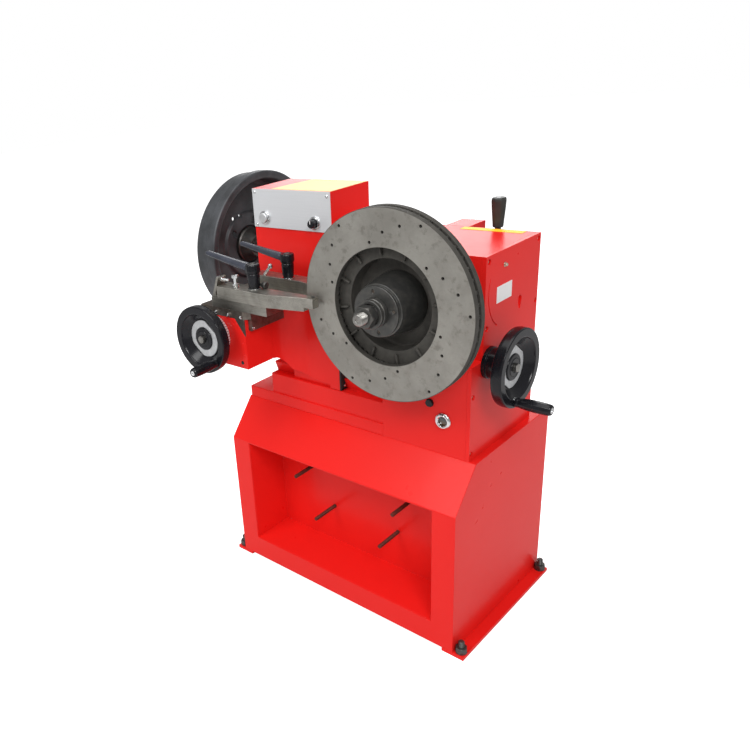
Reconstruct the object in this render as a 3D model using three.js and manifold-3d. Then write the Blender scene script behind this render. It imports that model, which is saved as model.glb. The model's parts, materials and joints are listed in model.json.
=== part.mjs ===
// Bench brake lathe on its sheet metal stand.
// Millimetres, +Z up, +Y from the operator to the back, +X to the operator's right.
// Sizes are measured from the stand's left front corner, at the top of its foot bars.
// The last lines move the whole lathe so that its origin is the middle of its footprint.

import * as THREE from 'three';
import { mergeVertices } from 'three/addons/utils/BufferGeometryUtils.js';
import Module from 'manifold-3d';

const wasm = await Module();
wasm.setup();

// Shared values

const seat = 0.3;          // gap between a round piece and its seat
const overrun = 5;         // how far a cutting tool runs past the face it cuts
const turnSpace = 1;       // gap round a shaft that passes a wall without touching it
const fine = 36;           // facets of a large round piece
const middling = 24;       // facets of a bearing or a pulley
const coarse = 16;         // facets of a small round piece
const hexSides = 6;

// Stand: folded sheet with a slanted strip above the storage window

const stand = {
  width: 600, depth: 380, height: 411, frontHeight: 327, slantDepth: 72, sheet: 3,
  windowLeft: 52, windowRightInset: 51, windowBottom: 55, windowLip: 3.5,
};
const tray = {
  wall: 2, depth: 110, pegRadius: 4.5, pegLength: 75,
  pegs: [
    { fromLeft: 108, rise: 195 }, { fromRight: 119, rise: 193 },
    { fromLeft: 163, rise: 98 }, { fromRight: 154, rise: 97 },
  ],
};
const foot = { width: 50, thickness: 8, boltInset: 12.5, boltEnd: 14, holeRadius: 8 };
const anchor = { studRadius: 6.5, top: 28, nutAcross: 22, nutHeight: 14, lift: 1 };

// Castings

const bed = {
  left: 4, front: 72, plateTop: 27, webLeft: 74, webFront: 76, webBack: 300,
  railLeft: 74, railFront: 76, railBottom: 59, railTop: 74,
  wayFront: 90, wayBack: 216, waySlope: 8, wayTop: 99,
};
const head = {
  left: 389, right: 585, back: 320, wall: 10, lowerTop: -122, front: 112, top: 73,
  neckLeft: 345, caseLeft: 28, caseRight: 245, caseBottom: -57, caseTop: 90,
  columnLeft: 70, columnFront: 262, slabBottom: -147, slabTop: -105,
};
const cover = { thickness: 8 };
const spindle = { height: 316 };
const discAxisX = 461;
const drumAxisY = 266;

// Disc spindle, from the nose at the front to the mitre gear inside

const discShaft = {
  noseY: -98, noseRadius: 11.5, threadY: -58, midRadius: 20, shoulderY: 38, shoulderThickness: 12,
  shoulderRadius: 60, radius: 25, tailY: 208, tailRadius: 17, endY: 246,
  centreHoleRadius: 3.5, centreHoleDepth: 8,
};
const disc = {
  front: -20, thickness: 30, radius: 179, bandInner: 109, plate: 11, hatOuter: 92, hatWall: 6,
  hatBack: 38, faceThickness: 6, boreRadius: 32, vanes: 24, vaneThickness: 4, vaneOuter: 172,
};
const bell = { frontY: -44, frontRadius: 47, backRadius: 58, frontWall: 9, rimWall: 7 };
const collar = { frontY: -64, radius: 27 };
const nut = { across: 38, frontY: -82 };
const discBearing = { width: 20, outerRadius: 42, frontY: 112, rearY: 186 };
const boss = { radius: 54, front: 98, depth: 40 };
const web = { thickness: 22 };

// Gears: one pair of spur gears and one pair of mitre gears

const gear = {
  module: 3, wheelTeeth: 36, pinionTeeth: 12, face: 18, pinionFace: 22, wheelY: 148,
  addendumShare: 0.8, dedendumShare: 1.2, rootShare: 0.6, pitchShare: 0.46, tipShare: 0.26,
};
const mitre = { teeth: 24, face: 14, hubRadius: 24, hubLength: 16 };

// Drum spindle, from the nut at the left to the mitre gear inside

const drumShaft = {
  leftX: -212, threadX: -172, threadRadius: 14, radius: 20, tailX: 366, tailRadius: 17, endX: 441,
};
const drum = {
  openX: -90, closedX: -170, radius: 178, lipRadius: 184, lipWidth: 26, innerRadius: 163, web: 12,
  boreRadius: 32, studRadius: 7, studCircle: 62, studs: 5, backChamfer: 10,
};
const cone = { rightX: -120, bigRadius: 44, smallRadius: 27, flange: 9 };
const drumNut = { across: 46, washerRadius: 42, washer: 8, length: 22 };
const drumBearing = { width: 18, outerRadius: 38, leftX: 30, rightX: 346, bossRadius: 47, bossDepth: 24 };

// Drive: motor in the lower casting, belt behind it, input shaft above

const input = { x: 407, radius: 9, frontY: 126, endY: 368, pulleyY: 336 };
const pulley = { width: 22, drivenRadius: 22, motorRadius: 14, flange: 2.5, grooveDepth: 4 };
const motor = { x: 483, z: 94, radius: 60, length: 150, shaftRadius: 7, capDepth: 12, capRadius: 46 };
const belt = { thickness: 3.4, width: 14 };
const guard = { depth: 68, wall: 2.5, clearance: 5, topRun: 86 };

// Carriage: saddle on the bed, apron box at its left, slide table with two arms

const carriage = {
  boxLeft: 8.5, boxRight: 138.5, boxFront: -59, boxBack: 190, boxBottom: -174.5, boxTop: -63.3, boxWall: 8,
  saddleRight: 274, saddleFront: 78, saddleBack: 250, saddleTop: -67, runGap: 0.5, pocketWall: 12,
  wiper: 4, wiperTop: 125, recessDepth: 6, legWidth: 26, blend: 57, blendSteps: 10,
  undercut: { left: 67, middle: 30, right: 13, end: 8, middleRun: 17 },
  cornerWidth: 28, cornerHeight: 36, cornerDepth: 3, flangeLap: 1,
};
const way = { top: -45.3, back: 105, lipThickness: 9.5, lipBottom: -89, cornerCut: 12 };
const table = {
  left: 45.7, right: 206, back: 96, bottom: -45, top: -24, lugWidth: 26, lugHeight: 26, lugLength: 30,
  neckWidth: 12, lugY: 30, slotSpare: 12,
};
const arm = {
  left: 72, tipX: 319, top: 4, tipBottom: -16, tipStart: 296,
  frontOuter: -66, frontInner: -29, frontShoulderX: 211, frontTipOuter: -48,
  rearOuter: 76, rearInner: 40, rearShoulderX: 215, rearTipOuter: 38, rearTipInner: 19,
  seatDepth: 4, seatLength: 17,
};
const bit = { thickness: 3.7, length: 15, width: 13, reach: 2, nose: 3 };
const clamp = {
  frontX: 164, frontY: -44, rearX: 173, rearY: 49.5, hubRadius: 13, hubHeight: 52, hubFoot: 10, footHeight: 8,
  leverLength: 134, leverRise: 20, leverRoot: 22, leverTip: 13, rootDepth: 15, tipDepth: 9,
  studRadius: 6, studDepth: 20,
};
const bracket = {
  left: 48, lean: 18, height: 44, plate: 6, width: 24, footLength: 20, footHeight: 4, front: -58,
};

// Handwheels and their screws

const wheel = {
  radius: 75, rimDepth: 22, rimWidth: 17, rimRound: 4.25, webFront: 18, webBack: 25,
  webRadius: 42, coneWall: 5,
  hubRadius: 27, hubFront: 11, boreRadius: 8.3, handleCircle: 63, pinRadius: 4, pinLength: 58,
};
const grip = { radius: 11.5, waist: 9, length: 62, start: 6, swell: 22 };
const dialRadius = 29;
const dialPlate = { leftRadius: 46, leftDepth: 13, rightRadius: 31, rightDepth: 8 };
const cross = { x: 46.6, z: -108.5, wheelY: -109, radius: 8, backY: 160, collarRadius: 14 };
const feed = {
  y: 133, z: -130, wheelX: 648, radius: 8, leftX: 200, collarRadius: 14, nutRadius: 14, nutLength: 26,
};

// Controls and fittings

const control = {
  height: 83, depth: 128, wall: 2.5, panel: 2, knobX: 203, knobRise: 18.5, buttonX: 62, buttonRise: 22,
};
const knob = {
  radius: 11, length: 14, skirtRadius: 14, skirt: 5, stemRadius: 4, stemLength: 14, gripWidth: 8,
};
const button = { radius: 11, length: 8, stemRadius: 4, stemLength: 14, travel: 3 };
const glass = { x: 529, z: 73, radius: 17, proud: 6, barrelRadius: 12, lensRadius: 11, lensSet: 3 };
const plug = { x: 499, z: 104.5, radius: 8.5, proud: 5, barrelRadius: 6 };
const shift = {
  x: 486, z: 39, y: 341, shaftRadius: 8, bossRadius: 14, rodRadius: 6, rodTop: 79,
  knobBottom: 72, knobTop: 131, knobBottomRadius: 11, knobTopRadius: 15, domeRadius: 10.5,
  inside: 26, domeRise: 5,
};

// Heights are written above from the stand's top, and those of what goes with the spindles from
// the spindles' axis. This makes them heights from the floor bars, as the stand's own are.
function heightsFrom(level, values, ...names) {
  for (const name of names) {
    values[name] += level;
  }
}
heightsFrom(stand.height, bed, 'plateTop', 'railBottom', 'railTop', 'wayTop');
heightsFrom(stand.height, spindle, 'height');
heightsFrom(stand.height, motor, 'z');
heightsFrom(stand.height, carriage, 'wiperTop');
heightsFrom(stand.height, glass, 'z');
heightsFrom(stand.height, plug, 'z');
heightsFrom(spindle.height, head, 'lowerTop', 'top', 'caseBottom', 'caseTop', 'slabBottom', 'slabTop');
heightsFrom(spindle.height, carriage, 'boxBottom', 'boxTop', 'saddleTop');
heightsFrom(spindle.height, way, 'top', 'lipBottom');
heightsFrom(spindle.height, table, 'bottom', 'top');
heightsFrom(spindle.height, arm, 'top', 'tipBottom');
heightsFrom(spindle.height, cross, 'z');
heightsFrom(spindle.height, feed, 'z');
heightsFrom(spindle.height, shift, 'z', 'rodTop', 'knobBottom', 'knobTop');

// Colours and finishes

function finish(color, roughness, metalness) {
  return new THREE.MeshStandardMaterial({ color, roughness, metalness });
}
const redPaint = finish(0xdf2f2a, 0.28, 0);
const blackPaint = finish(0x17181b, 0.35, 0.1);
const darkSteel = finish(0x34312f, 0.45, 0.7);
const machinedSteel = finish(0x827f78, 0.38, 0.9);
const chrome = finish(0xcfd2d4, 0.15, 1);
const silverPanel = finish(0xbcbfc2, 0.32, 0.8);
const rubber = finish(0x1b1b1c, 0.8, 0);
const castGrey = finish(0x5d6063, 0.55, 0.6);
const bronze = finish(0x9a7b45, 0.4, 0.9);

// Solids

function toSolid(geometry) {
  const bare = geometry.clone();
  bare.deleteAttribute('normal');
  bare.deleteAttribute('uv');
  const merged = mergeVertices(bare, 1e-5);
  return new wasm.Manifold(new wasm.Mesh({
    numProp: 3,
    vertProperties: new Float32Array(merged.attributes.position.array),
    triVerts: new Uint32Array(merged.index.array),
  }));
}

function toGeometry(solid) {
  const mesh = solid.getMesh();
  const geometry = new THREE.BufferGeometry();
  geometry.setAttribute('position', new THREE.BufferAttribute(new Float32Array(mesh.vertProperties), 3));
  geometry.setIndex(new THREE.BufferAttribute(new Uint32Array(mesh.triVerts), 1));
  return geometry;
}

function join(...solids) {
  return solids.reduce((sum, solid) => sum.add(solid));
}

function cut(body, ...tools) {
  return tools.reduce((left, tool) => left.subtract(tool), body);
}

// A block between two corners given as ranges.
function block(x, y, z) {
  const geometry = new THREE.BoxGeometry(x[1] - x[0], y[1] - y[0], z[1] - z[0]);
  geometry.translate((x[0] + x[1]) / 2, (y[0] + y[1]) / 2, (z[0] + z[1]) / 2);
  return toSolid(geometry);
}

// Turns a shape made along +Z so that it lies along +X or +Y.
function layAlong(axis, geometry) {
  if (axis === 'x') {
    geometry.rotateY(Math.PI / 2);
  }
  if (axis === 'y') {
    geometry.rotateX(-Math.PI / 2);
  }
  return geometry;
}

// A round bar along an axis: range is its two ends, at is where the axis lies.
function bar(axis, radius, range, at, sides = coarse) {
  const geometry = new THREE.CylinderGeometry(radius, radius, range[1] - range[0], sides);
  geometry.rotateX(Math.PI / 2);
  geometry.translate(0, 0, (range[0] + range[1]) / 2);
  layAlong(axis, geometry);
  geometry.translate(at.x ?? 0, at.y ?? 0, at.z ?? 0);
  return toSolid(geometry);
}

// A turned shape: pairs of radius and place along the axis, closed on itself or ending on the axis.
function turned(axis, profile, at, sides = coarse) {
  const points = profile.map(([radius, along]) => new THREE.Vector2(radius, along));
  const geometry = new THREE.LatheGeometry(points, sides);
  geometry.rotateX(Math.PI / 2);
  layAlong(axis, geometry);
  geometry.translate(at.x ?? 0, at.y ?? 0, at.z ?? 0);
  return toSolid(geometry);
}

// A ring with a bore.
function ring(axis, outer, inner, range, at, sides = coarse) {
  const body = bar(axis, outer, range, at, sides);
  return cut(body, bar(axis, inner, [range[0] - overrun, range[1] + overrun], at, sides));
}

// A hexagon bar measured across its flats.
function hexagon(axis, across, range, at) {
  return bar(axis, across / Math.sqrt(3), range, at, hexSides);
}

// An outline in the plane square to an axis, drawn out along that axis.
// Along x the outline is in y and z, along y in x and z, along z in x and y.
function prism(axis, outline, range) {
  const shape = new THREE.Shape(outline.map(([a, b]) => new THREE.Vector2(a, b)));
  const geometry = new THREE.ExtrudeGeometry(shape, { depth: range[1] - range[0], bevelEnabled: false });
  geometry.translate(0, 0, range[0]);
  const turn = new THREE.Matrix4();
  if (axis === 'x') {
    turn.set(0, 0, 1, 0, 1, 0, 0, 0, 0, 1, 0, 0, 0, 0, 0, 1);
    geometry.applyMatrix4(turn);
  }
  if (axis === 'y') {
    turn.set(1, 0, 0, 0, 0, 0, -1, 0, 0, 1, 0, 0, 0, 0, 0, 1);
    geometry.applyMatrix4(turn);
    geometry.translate(0, range[0] + range[1], 0);
  }
  return toSolid(geometry);
}

// The outline of a gear: a root, two flanks and a tip for each tooth.
function gearOutline(teeth, scale = 1, turn = 0) {
  const pitchRadius = gear.module * teeth / 2;
  const rootRadius = pitchRadius - gear.module * gear.dedendumShare;
  const tipRadius = pitchRadius + gear.module * gear.addendumShare;
  const step = 2 * Math.PI / teeth;
  const points = [];
  for (let tooth = 0; tooth < teeth; tooth += 1) {
    const middle = tooth * step + turn;
    const corners = [
      [rootRadius, -gear.rootShare / 2], [pitchRadius, -gear.pitchShare / 2], [tipRadius, -gear.tipShare / 2],
      [tipRadius, gear.tipShare / 2], [pitchRadius, gear.pitchShare / 2], [rootRadius, gear.rootShare / 2],
    ];
    for (const [radius, share] of corners) {
      const angle = middle + share * step;
      points.push([scale * radius * Math.cos(angle), scale * radius * Math.sin(angle)]);
    }
  }
  return points;
}

// A gear whose outline shrinks from scale 1 at one end to another scale at the other, along +Z.
function taperedGear(teeth, length, endScale, turn) {
  const start = gearOutline(teeth, 1, turn);
  const end = gearOutline(teeth, endScale, turn);
  const count = start.length;
  const positions = [...start.map(([x, y]) => [x, y, 0]), ...end.map(([x, y]) => [x, y, length])];
  positions.push([0, 0, 0], [0, 0, length]);
  const index = [];
  for (let i = 0; i < count; i += 1) {
    const next = (i + 1) % count;
    index.push(i, next, count + next, i, count + next, count + i);
    index.push(2 * count, next, i, 2 * count + 1, count + i, count + next);
  }
  const geometry = new THREE.BufferGeometry();
  geometry.setAttribute('position', new THREE.Float32BufferAttribute(positions.flat(), 3));
  geometry.setIndex(index);
  return geometry;
}

// The scene graph

const lathe = new THREE.Group();

function assembly(parent, x, y, z) {
  const group = new THREE.Group();
  group.position.set(x, y, z);
  parent.add(group);
  return group;
}

function piece(parent, name, solid, material) {
  const mesh = new THREE.Mesh(toGeometry(solid), material);
  mesh.name = name;
  parent.add(mesh);
  return mesh;
}

// Stand

const standGroup = assembly(lathe, 0, 0, 0);
const slantAngle = Math.atan2(stand.slantDepth, stand.height - stand.frontHeight);
const innerBend = stand.sheet * Math.tan(slantAngle / 2);
const innerShoulder = stand.sheet * Math.tan((Math.PI / 2 - slantAngle) / 2);
const windowRight = stand.width - stand.windowRightInset;
const windowTop = stand.frontHeight - stand.windowLip;
const standOutline = [
  [0, 0], [stand.depth, 0], [stand.depth, stand.height],
  [stand.slantDepth, stand.height], [0, stand.frontHeight],
];
const standInside = [
  [stand.sheet, -overrun], [stand.depth - stand.sheet, -overrun],
  [stand.depth - stand.sheet, stand.height - stand.sheet],
  [stand.slantDepth + innerShoulder, stand.height - stand.sheet],
  [stand.sheet, stand.frontHeight - innerBend],
];
piece(standGroup, 'stand_shell', cut(
  prism('x', standOutline, [0, stand.width]),
  prism('x', standInside, [stand.sheet, stand.width - stand.sheet]),
  block([stand.windowLeft, windowRight], [-overrun, stand.sheet + overrun],
    [stand.windowBottom, windowTop]),
), redPaint);

function storageTray() {
  const front = stand.sheet + seat;
  const back = front + tray.depth;
  const shell = cut(
    block([stand.windowLeft - tray.wall, windowRight + tray.wall], [front, back + tray.wall],
      [stand.windowBottom - tray.wall, windowTop + tray.wall]),
    block([stand.windowLeft, windowRight], [front - overrun, back], [stand.windowBottom, windowTop]),
  );
  const pegs = tray.pegs.map((peg) => bar('y', tray.pegRadius, [back - tray.pegLength, back + tray.wall], {
    x: peg.fromLeft ? stand.windowLeft + peg.fromLeft : windowRight - peg.fromRight,
    z: stand.windowBottom + peg.rise,
  }));
  return join(shell, ...pegs);
}
piece(standGroup, 'storage_tray', storageTray(), redPaint);

const footSides = [
  { name: 'foot_left', middle: 0, boltX: -foot.boltInset },
  { name: 'foot_right', middle: stand.width, boltX: stand.width + foot.boltInset },
];
const boltRows = [foot.boltEnd, stand.depth - foot.boltEnd];
let boltCount = 0;
for (const side of footSides) {
  const x = [side.middle - foot.width / 2, side.middle + foot.width / 2];
  const holes = boltRows.map((y) => bar('z', foot.holeRadius, [-foot.thickness - overrun, overrun],
    { x: side.boltX, y }));
  piece(standGroup, side.name, cut(block(x, [0, stand.depth], [-foot.thickness, 0]), ...holes), redPaint);
  for (const y of boltRows) {
    boltCount += 1;
    const at = { x: side.boltX, y };
    const bolt = join(
      bar('z', anchor.studRadius, [anchor.lift - foot.thickness, anchor.top], at),
      hexagon('z', anchor.nutAcross, [seat, anchor.nutHeight], at),
    );
    piece(standGroup, `anchor_bolt_${boltCount}`, bolt, blackPaint);
  }
}

// Bed casting: base plate, web, rail and the dovetail way that the saddle rides

const machineGroup = assembly(lathe, 0, 0, stand.height);
const up = (z) => z - stand.height;
const bedRight = head.left - seat;
const wayOutline = (grow) => [
  [bed.wayFront + bed.waySlope - grow, up(bed.railTop) - grow],
  [bed.wayBack - bed.waySlope + grow, up(bed.railTop) - grow],
  [bed.wayBack + grow, up(bed.wayTop) + grow],
  [bed.wayFront - grow, up(bed.wayTop) + grow],
];
const feedAxis = { y: feed.y, z: up(feed.z) };
piece(machineGroup, 'bed', join(
  block([bed.left, bedRight], [bed.front, head.back], [0, up(bed.plateTop)]),
  block([bed.webLeft, bedRight], [bed.webFront, bed.webBack], [0, up(bed.railBottom)]),
  block([bed.railLeft, bedRight], [bed.railFront, head.back], [up(bed.railBottom), up(bed.railTop)]),
  prism('x', wayOutline(0), [bed.railLeft, bedRight]),
  block([head.columnLeft, bedRight], [head.columnFront, head.back], [up(bed.railTop), up(bed.wayTop)]),
), redPaint);

// Headstock casting: lower motor room, upper gear room, drum spindle case and rear column

const coverInside = head.right - cover.thickness;
const houseRight = coverInside - seat;
const discLine = { x: discAxisX, z: up(spindle.height) };
const drumLine = { y: drumAxisY, z: up(spindle.height) };
const gearCentres = gear.module * (gear.wheelTeeth + gear.pinionTeeth) / 2;
const inputSide = discAxisX - input.x;
const inputDrop = Math.sqrt(gearCentres ** 2 - inputSide ** 2);
const inputLine = { x: input.x, z: up(spindle.height) - inputDrop };
const motorLine = { x: motor.x, z: up(motor.z) };
const shiftLine = { x: shift.x, z: up(shift.z) };
const glassLine = { x: glass.x, z: up(glass.z) };
const plugLine = { x: plug.x, z: up(plug.z) };

function headstockCasting() {
  const wall = head.wall;
  const outside = join(
    block([head.left, houseRight], [bed.front, head.back], [0, up(head.lowerTop)]),
    block([head.neckLeft, houseRight], [head.front, head.back], [up(head.slabBottom), up(head.top)]),
    block([head.caseLeft, head.neckLeft], [head.front, head.back], [up(head.caseBottom), up(head.top)]),
    block([head.caseLeft, head.caseRight], [head.front, head.back], [up(head.top), up(head.caseTop)]),
    block([head.columnLeft, head.left], [head.columnFront, head.back],
      [up(bed.wayTop) + seat, up(head.caseBottom)]),
    bar('y', boss.radius, [boss.front, head.front], discLine, fine),
  );
  const rooms = [
    block([head.left + wall, houseRight + overrun], [bed.front + wall, head.back - wall],
      [wall, up(head.slabBottom)]),
    block([head.neckLeft + wall, houseRight + overrun], [head.front + wall, head.back - wall],
      [up(head.slabTop), up(head.top) - wall]),
    block([head.caseLeft + wall, head.neckLeft], [head.front + wall, head.back - wall],
      [up(head.caseBottom) + wall, up(head.top) - wall]),
    block([head.columnLeft + wall, head.left - wall], [head.columnFront + wall, head.back - wall],
      [up(bed.wayTop) - overrun, up(head.caseBottom) - wall]),
  ];
  const hollow = cut(outside, ...rooms);
  const webY = [discBearing.rearY - seat, discBearing.rearY - seat + web.thickness];
  const walls = join(
    hollow,
    bar('y', boss.radius, [head.front, boss.front + boss.depth], discLine, fine),
    block([head.neckLeft + wall / 2, houseRight], webY,
      [up(head.slabTop) - wall / 2, up(head.top) - wall / 2]),
    block([head.neckLeft - wall / 2, drumBearing.rightX + drumBearing.width + seat],
      [head.front + wall / 2, head.back - wall / 2],
      [up(head.caseBottom) + wall / 2, up(head.top) - wall / 2]),
    bar('x', drumBearing.bossRadius, [head.caseLeft, head.caseLeft + drumBearing.bossDepth], drumLine, fine),
  );
  const through = [bed.front - overrun, head.back + overrun];
  return cut(
    walls,
    bar('y', discBearing.outerRadius + seat,
      [boss.front - overrun, discBearing.rearY + discBearing.width + seat], discLine, fine),
    bar('y', discShaft.radius + turnSpace, [discBearing.rearY, webY[1] + overrun], discLine, fine),
    bar('x', drumBearing.outerRadius + seat, [head.caseLeft - overrun, drumBearing.rightX + wall * 2],
      drumLine, fine),
    bar('y', input.radius + seat, [discBearing.rearY - overrun, head.back + overrun], inputLine),
    bar('y', motor.shaftRadius + seat, [head.back - wall - overrun, head.back + overrun], motorLine),
    bar('y', shift.shaftRadius + seat, [head.back - wall - overrun, head.back + overrun], shiftLine),
    bar('x', feed.radius + seat, [head.neckLeft - overrun, houseRight + overrun], feedAxis),
    bar('y', glass.barrelRadius + seat, [through[0], bed.front + wall + overrun], glassLine),
    bar('y', plug.barrelRadius + seat, [through[0], bed.front + wall + overrun], plugLine),
  );
}
piece(machineGroup, 'headstock', headstockCasting(), redPaint);

const coverOutline = [
  [bed.front, 0], [head.back, 0], [head.back, up(head.top)], [head.front, up(head.top)],
  [head.front, up(head.lowerTop)], [bed.front, up(head.lowerTop)],
];
piece(machineGroup, 'side_cover', cut(
  prism('x', coverOutline, [coverInside, head.right]),
  bar('x', feed.radius + seat, [coverInside - overrun, head.right + overrun], feedAxis),
), redPaint);

// Belt guard: a box open towards the casting, wide enough for both pulleys

function guardOutline(inset) {
  const reach = pulley.drivenRadius + guard.clearance - inset;
  const top = up(head.top) - inset;
  const low = motorLine.z - reach;
  return [
    [input.x - reach, top], [input.x - reach, inputLine.z - reach], [motor.x - reach, low],
    [motor.x + reach, low], [motor.x + reach, motorLine.z + reach],
    [input.x + reach, top - guard.topRun], [input.x + reach, top],
  ];
}
const guardFront = head.back + seat;
piece(machineGroup, 'belt_guard', cut(
  prism('y', guardOutline(0), [guardFront, guardFront + guard.depth]),
  prism('y', guardOutline(guard.wall), [guardFront - overrun, guardFront + guard.depth - guard.wall]),
), redPaint);

// Control box and its front panel

const knobLine = { x: control.knobX, z: up(head.caseTop) + control.knobRise };
const buttonLine = { x: control.buttonX, z: up(head.caseTop) + control.buttonRise };
const boxBase = up(head.caseTop) + seat;
const boxTop = up(head.caseTop) + control.height;
const stemHoles = (range) => [
  bar('y', knob.stemRadius + seat, range, knobLine),
  bar('y', button.stemRadius + seat, range, buttonLine),
];
piece(machineGroup, 'control_box', cut(
  block([head.caseLeft, head.caseRight], [head.front, head.front + control.depth], [boxBase, boxTop]),
  block([head.caseLeft + control.wall, head.caseRight - control.wall],
    [head.front + control.wall, head.front + control.depth - control.wall],
    [boxBase - overrun, boxTop - control.wall]),
  ...stemHoles([head.front - overrun, head.front + control.wall + overrun]),
), redPaint);
const panelFront = head.front - seat - control.panel;
piece(machineGroup, 'control_panel', cut(
  block([head.caseLeft, head.caseRight], [panelFront, panelFront + control.panel], [boxBase, boxTop]),
  ...stemHoles([panelFront - overrun, head.front]),
), silverPanel);

const knobFace = panelFront - seat;
piece(machineGroup, 'selector_knob', join(
  bar('y', knob.skirtRadius, [knobFace - knob.skirt, knobFace], knobLine),
  bar('y', knob.radius, [knobFace - knob.length, knobFace - knob.skirt / 2], knobLine),
  block([knobLine.x - knob.gripWidth / 2, knobLine.x + knob.gripWidth / 2],
    [knobFace - knob.length - knob.skirt, knobFace - knob.skirt],
    [knobLine.z - knob.radius, knobLine.z + knob.radius]),
  bar('y', knob.stemRadius, [knobFace - knob.skirt / 2, knobFace + knob.stemLength], knobLine),
), blackPaint);
const buttonBack = panelFront - seat - button.travel;
piece(machineGroup, 'start_button', join(
  bar('y', button.radius, [buttonBack - button.length, buttonBack], buttonLine),
  bar('y', button.stemRadius, [buttonBack - button.length / 2, buttonBack + button.stemLength], buttonLine),
), chrome);

// Sight glass and filler plug on the casting's front

piece(machineGroup, 'sight_glass', turned('y', [
  [0, bed.front - glass.proud + glass.lensSet], [glass.lensRadius, bed.front - glass.proud + glass.lensSet],
  [glass.lensRadius + turnSpace, bed.front - glass.proud], [glass.radius, bed.front - glass.proud],
  [glass.radius, bed.front - seat], [glass.barrelRadius, bed.front - seat],
  [glass.barrelRadius, bed.front + head.wall], [0, bed.front + head.wall],
], glassLine), chrome);
piece(machineGroup, 'filler_plug', join(
  bar('y', plug.radius, [bed.front - plug.proud, bed.front - seat], plugLine),
  bar('y', plug.barrelRadius, [bed.front - plug.proud, bed.front + head.wall], plugLine),
), blackPaint);

// Shift lever behind the casting, with its tapered knob

const shiftGroup = assembly(machineGroup, shift.x, shift.y, shiftLine.z);
piece(shiftGroup, 'shift_lever', join(
  bar('y', shift.shaftRadius, [head.back - shift.y - shift.inside, 0], {}),
  bar('y', shift.bossRadius, [head.back - shift.y + seat, shift.bossRadius / 2], {}),
  bar('z', shift.rodRadius, [0, shift.rodTop + shift.domeRise - shift.z], {}),
), darkSteel);
piece(shiftGroup, 'shift_knob', turned('z', [
  [shift.rodRadius + seat, shift.knobBottom - shift.z], [shift.knobBottomRadius, shift.knobBottom - shift.z],
  [shift.knobTopRadius, shift.knobTop - shift.domeRise - shift.z],
  [shift.domeRadius, shift.knobTop - shift.z], [0, shift.knobTop - shift.z],
  [0, shift.rodTop + shift.domeRise + seat - shift.z],
  [shift.rodRadius + seat, shift.rodTop + shift.domeRise + seat - shift.z],
  [shift.rodRadius + seat, shift.knobBottom - shift.z],
], {}), blackPaint);

// Disc spindle with the disc and its clamp, drawn along its own axis

const discGroup = assembly(machineGroup, discAxisX, 0, up(spindle.height));
piece(discGroup, 'disc_spindle', turned('y', [
  [0, discShaft.noseY + discShaft.centreHoleDepth], [discShaft.centreHoleRadius, discShaft.noseY],
  [discShaft.noseRadius, discShaft.noseY], [discShaft.noseRadius, discShaft.threadY],
  [discShaft.midRadius, discShaft.threadY + discShaft.midRadius - discShaft.noseRadius],
  [discShaft.midRadius, discShaft.shoulderY + seat],
  [discShaft.shoulderRadius, discShaft.shoulderY + seat],
  [discShaft.shoulderRadius, discShaft.shoulderY + discShaft.shoulderThickness],
  [discShaft.radius, discShaft.shoulderY + discShaft.shoulderThickness],
  [discShaft.radius, discShaft.tailY], [discShaft.tailRadius, discShaft.tailY],
  [discShaft.tailRadius, discShaft.endY], [0, discShaft.endY],
], {}), machinedSteel);

function ventedDisc() {
  const back = disc.front + disc.thickness;
  const frontPlate = [disc.front, disc.front + disc.plate];
  const rearPlate = [back - disc.plate, back];
  const discBody = join(
    ring('y', disc.radius, disc.bandInner, frontPlate, {}, fine),
    ring('y', disc.radius, disc.hatOuter - disc.hatWall, rearPlate, {}, fine),
    ring('y', disc.hatOuter, disc.hatOuter - disc.hatWall, [rearPlate[0], disc.hatBack], {}, fine),
    ring('y', disc.hatOuter, disc.boreRadius, [disc.hatBack - disc.faceThickness, disc.hatBack], {}, fine),
  );
  const vanes = [];
  for (let i = 0; i < disc.vanes; i += 1) {
    const geometry = new THREE.BoxGeometry(
      disc.vaneOuter - disc.bandInner, disc.thickness - disc.plate, disc.vaneThickness,
    );
    geometry.translate((disc.vaneOuter + disc.bandInner) / 2, disc.front + disc.thickness / 2, 0);
    geometry.rotateY(2 * Math.PI * i / disc.vanes);
    vanes.push(toSolid(geometry));
  }
  return join(discBody, ...vanes);
}
piece(discGroup, 'brake_disc', ventedDisc(), machinedSteel);

const hatFloor = disc.hatBack - disc.faceThickness - seat;
piece(discGroup, 'clamp_bell', turned('y', [
  [discShaft.midRadius + seat, bell.frontY], [bell.frontRadius, bell.frontY],
  [bell.backRadius, hatFloor], [bell.backRadius - bell.rimWall, hatFloor],
  [bell.frontRadius - bell.rimWall, bell.frontY + bell.frontWall],
  [discShaft.midRadius + seat, bell.frontY + bell.frontWall],
  [discShaft.midRadius + seat, bell.frontY],
], {}, fine), blackPaint);
piece(discGroup, 'clamp_collar', ring('y', collar.radius, discShaft.midRadius + seat,
  [collar.frontY + seat, bell.frontY - seat], {}), blackPaint);
piece(discGroup, 'clamp_nut', cut(
  hexagon('y', nut.across, [nut.frontY, collar.frontY], {}),
  bar('y', discShaft.noseRadius + seat, [nut.frontY - overrun, collar.frontY + overrun], {}),
), darkSteel);

const bearingRing = (axis, shape, shaftRadius, from) => ring(axis, shape.outerRadius, shaftRadius + seat,
  [from, from + shape.width], {}, middling);
piece(discGroup, 'disc_front_bearing', bearingRing('y', discBearing, discShaft.radius,
  discBearing.frontY), chrome);
piece(discGroup, 'disc_rear_bearing', bearingRing('y', discBearing, discShaft.radius,
  discBearing.rearY - discBearing.width / 2), chrome);

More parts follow.
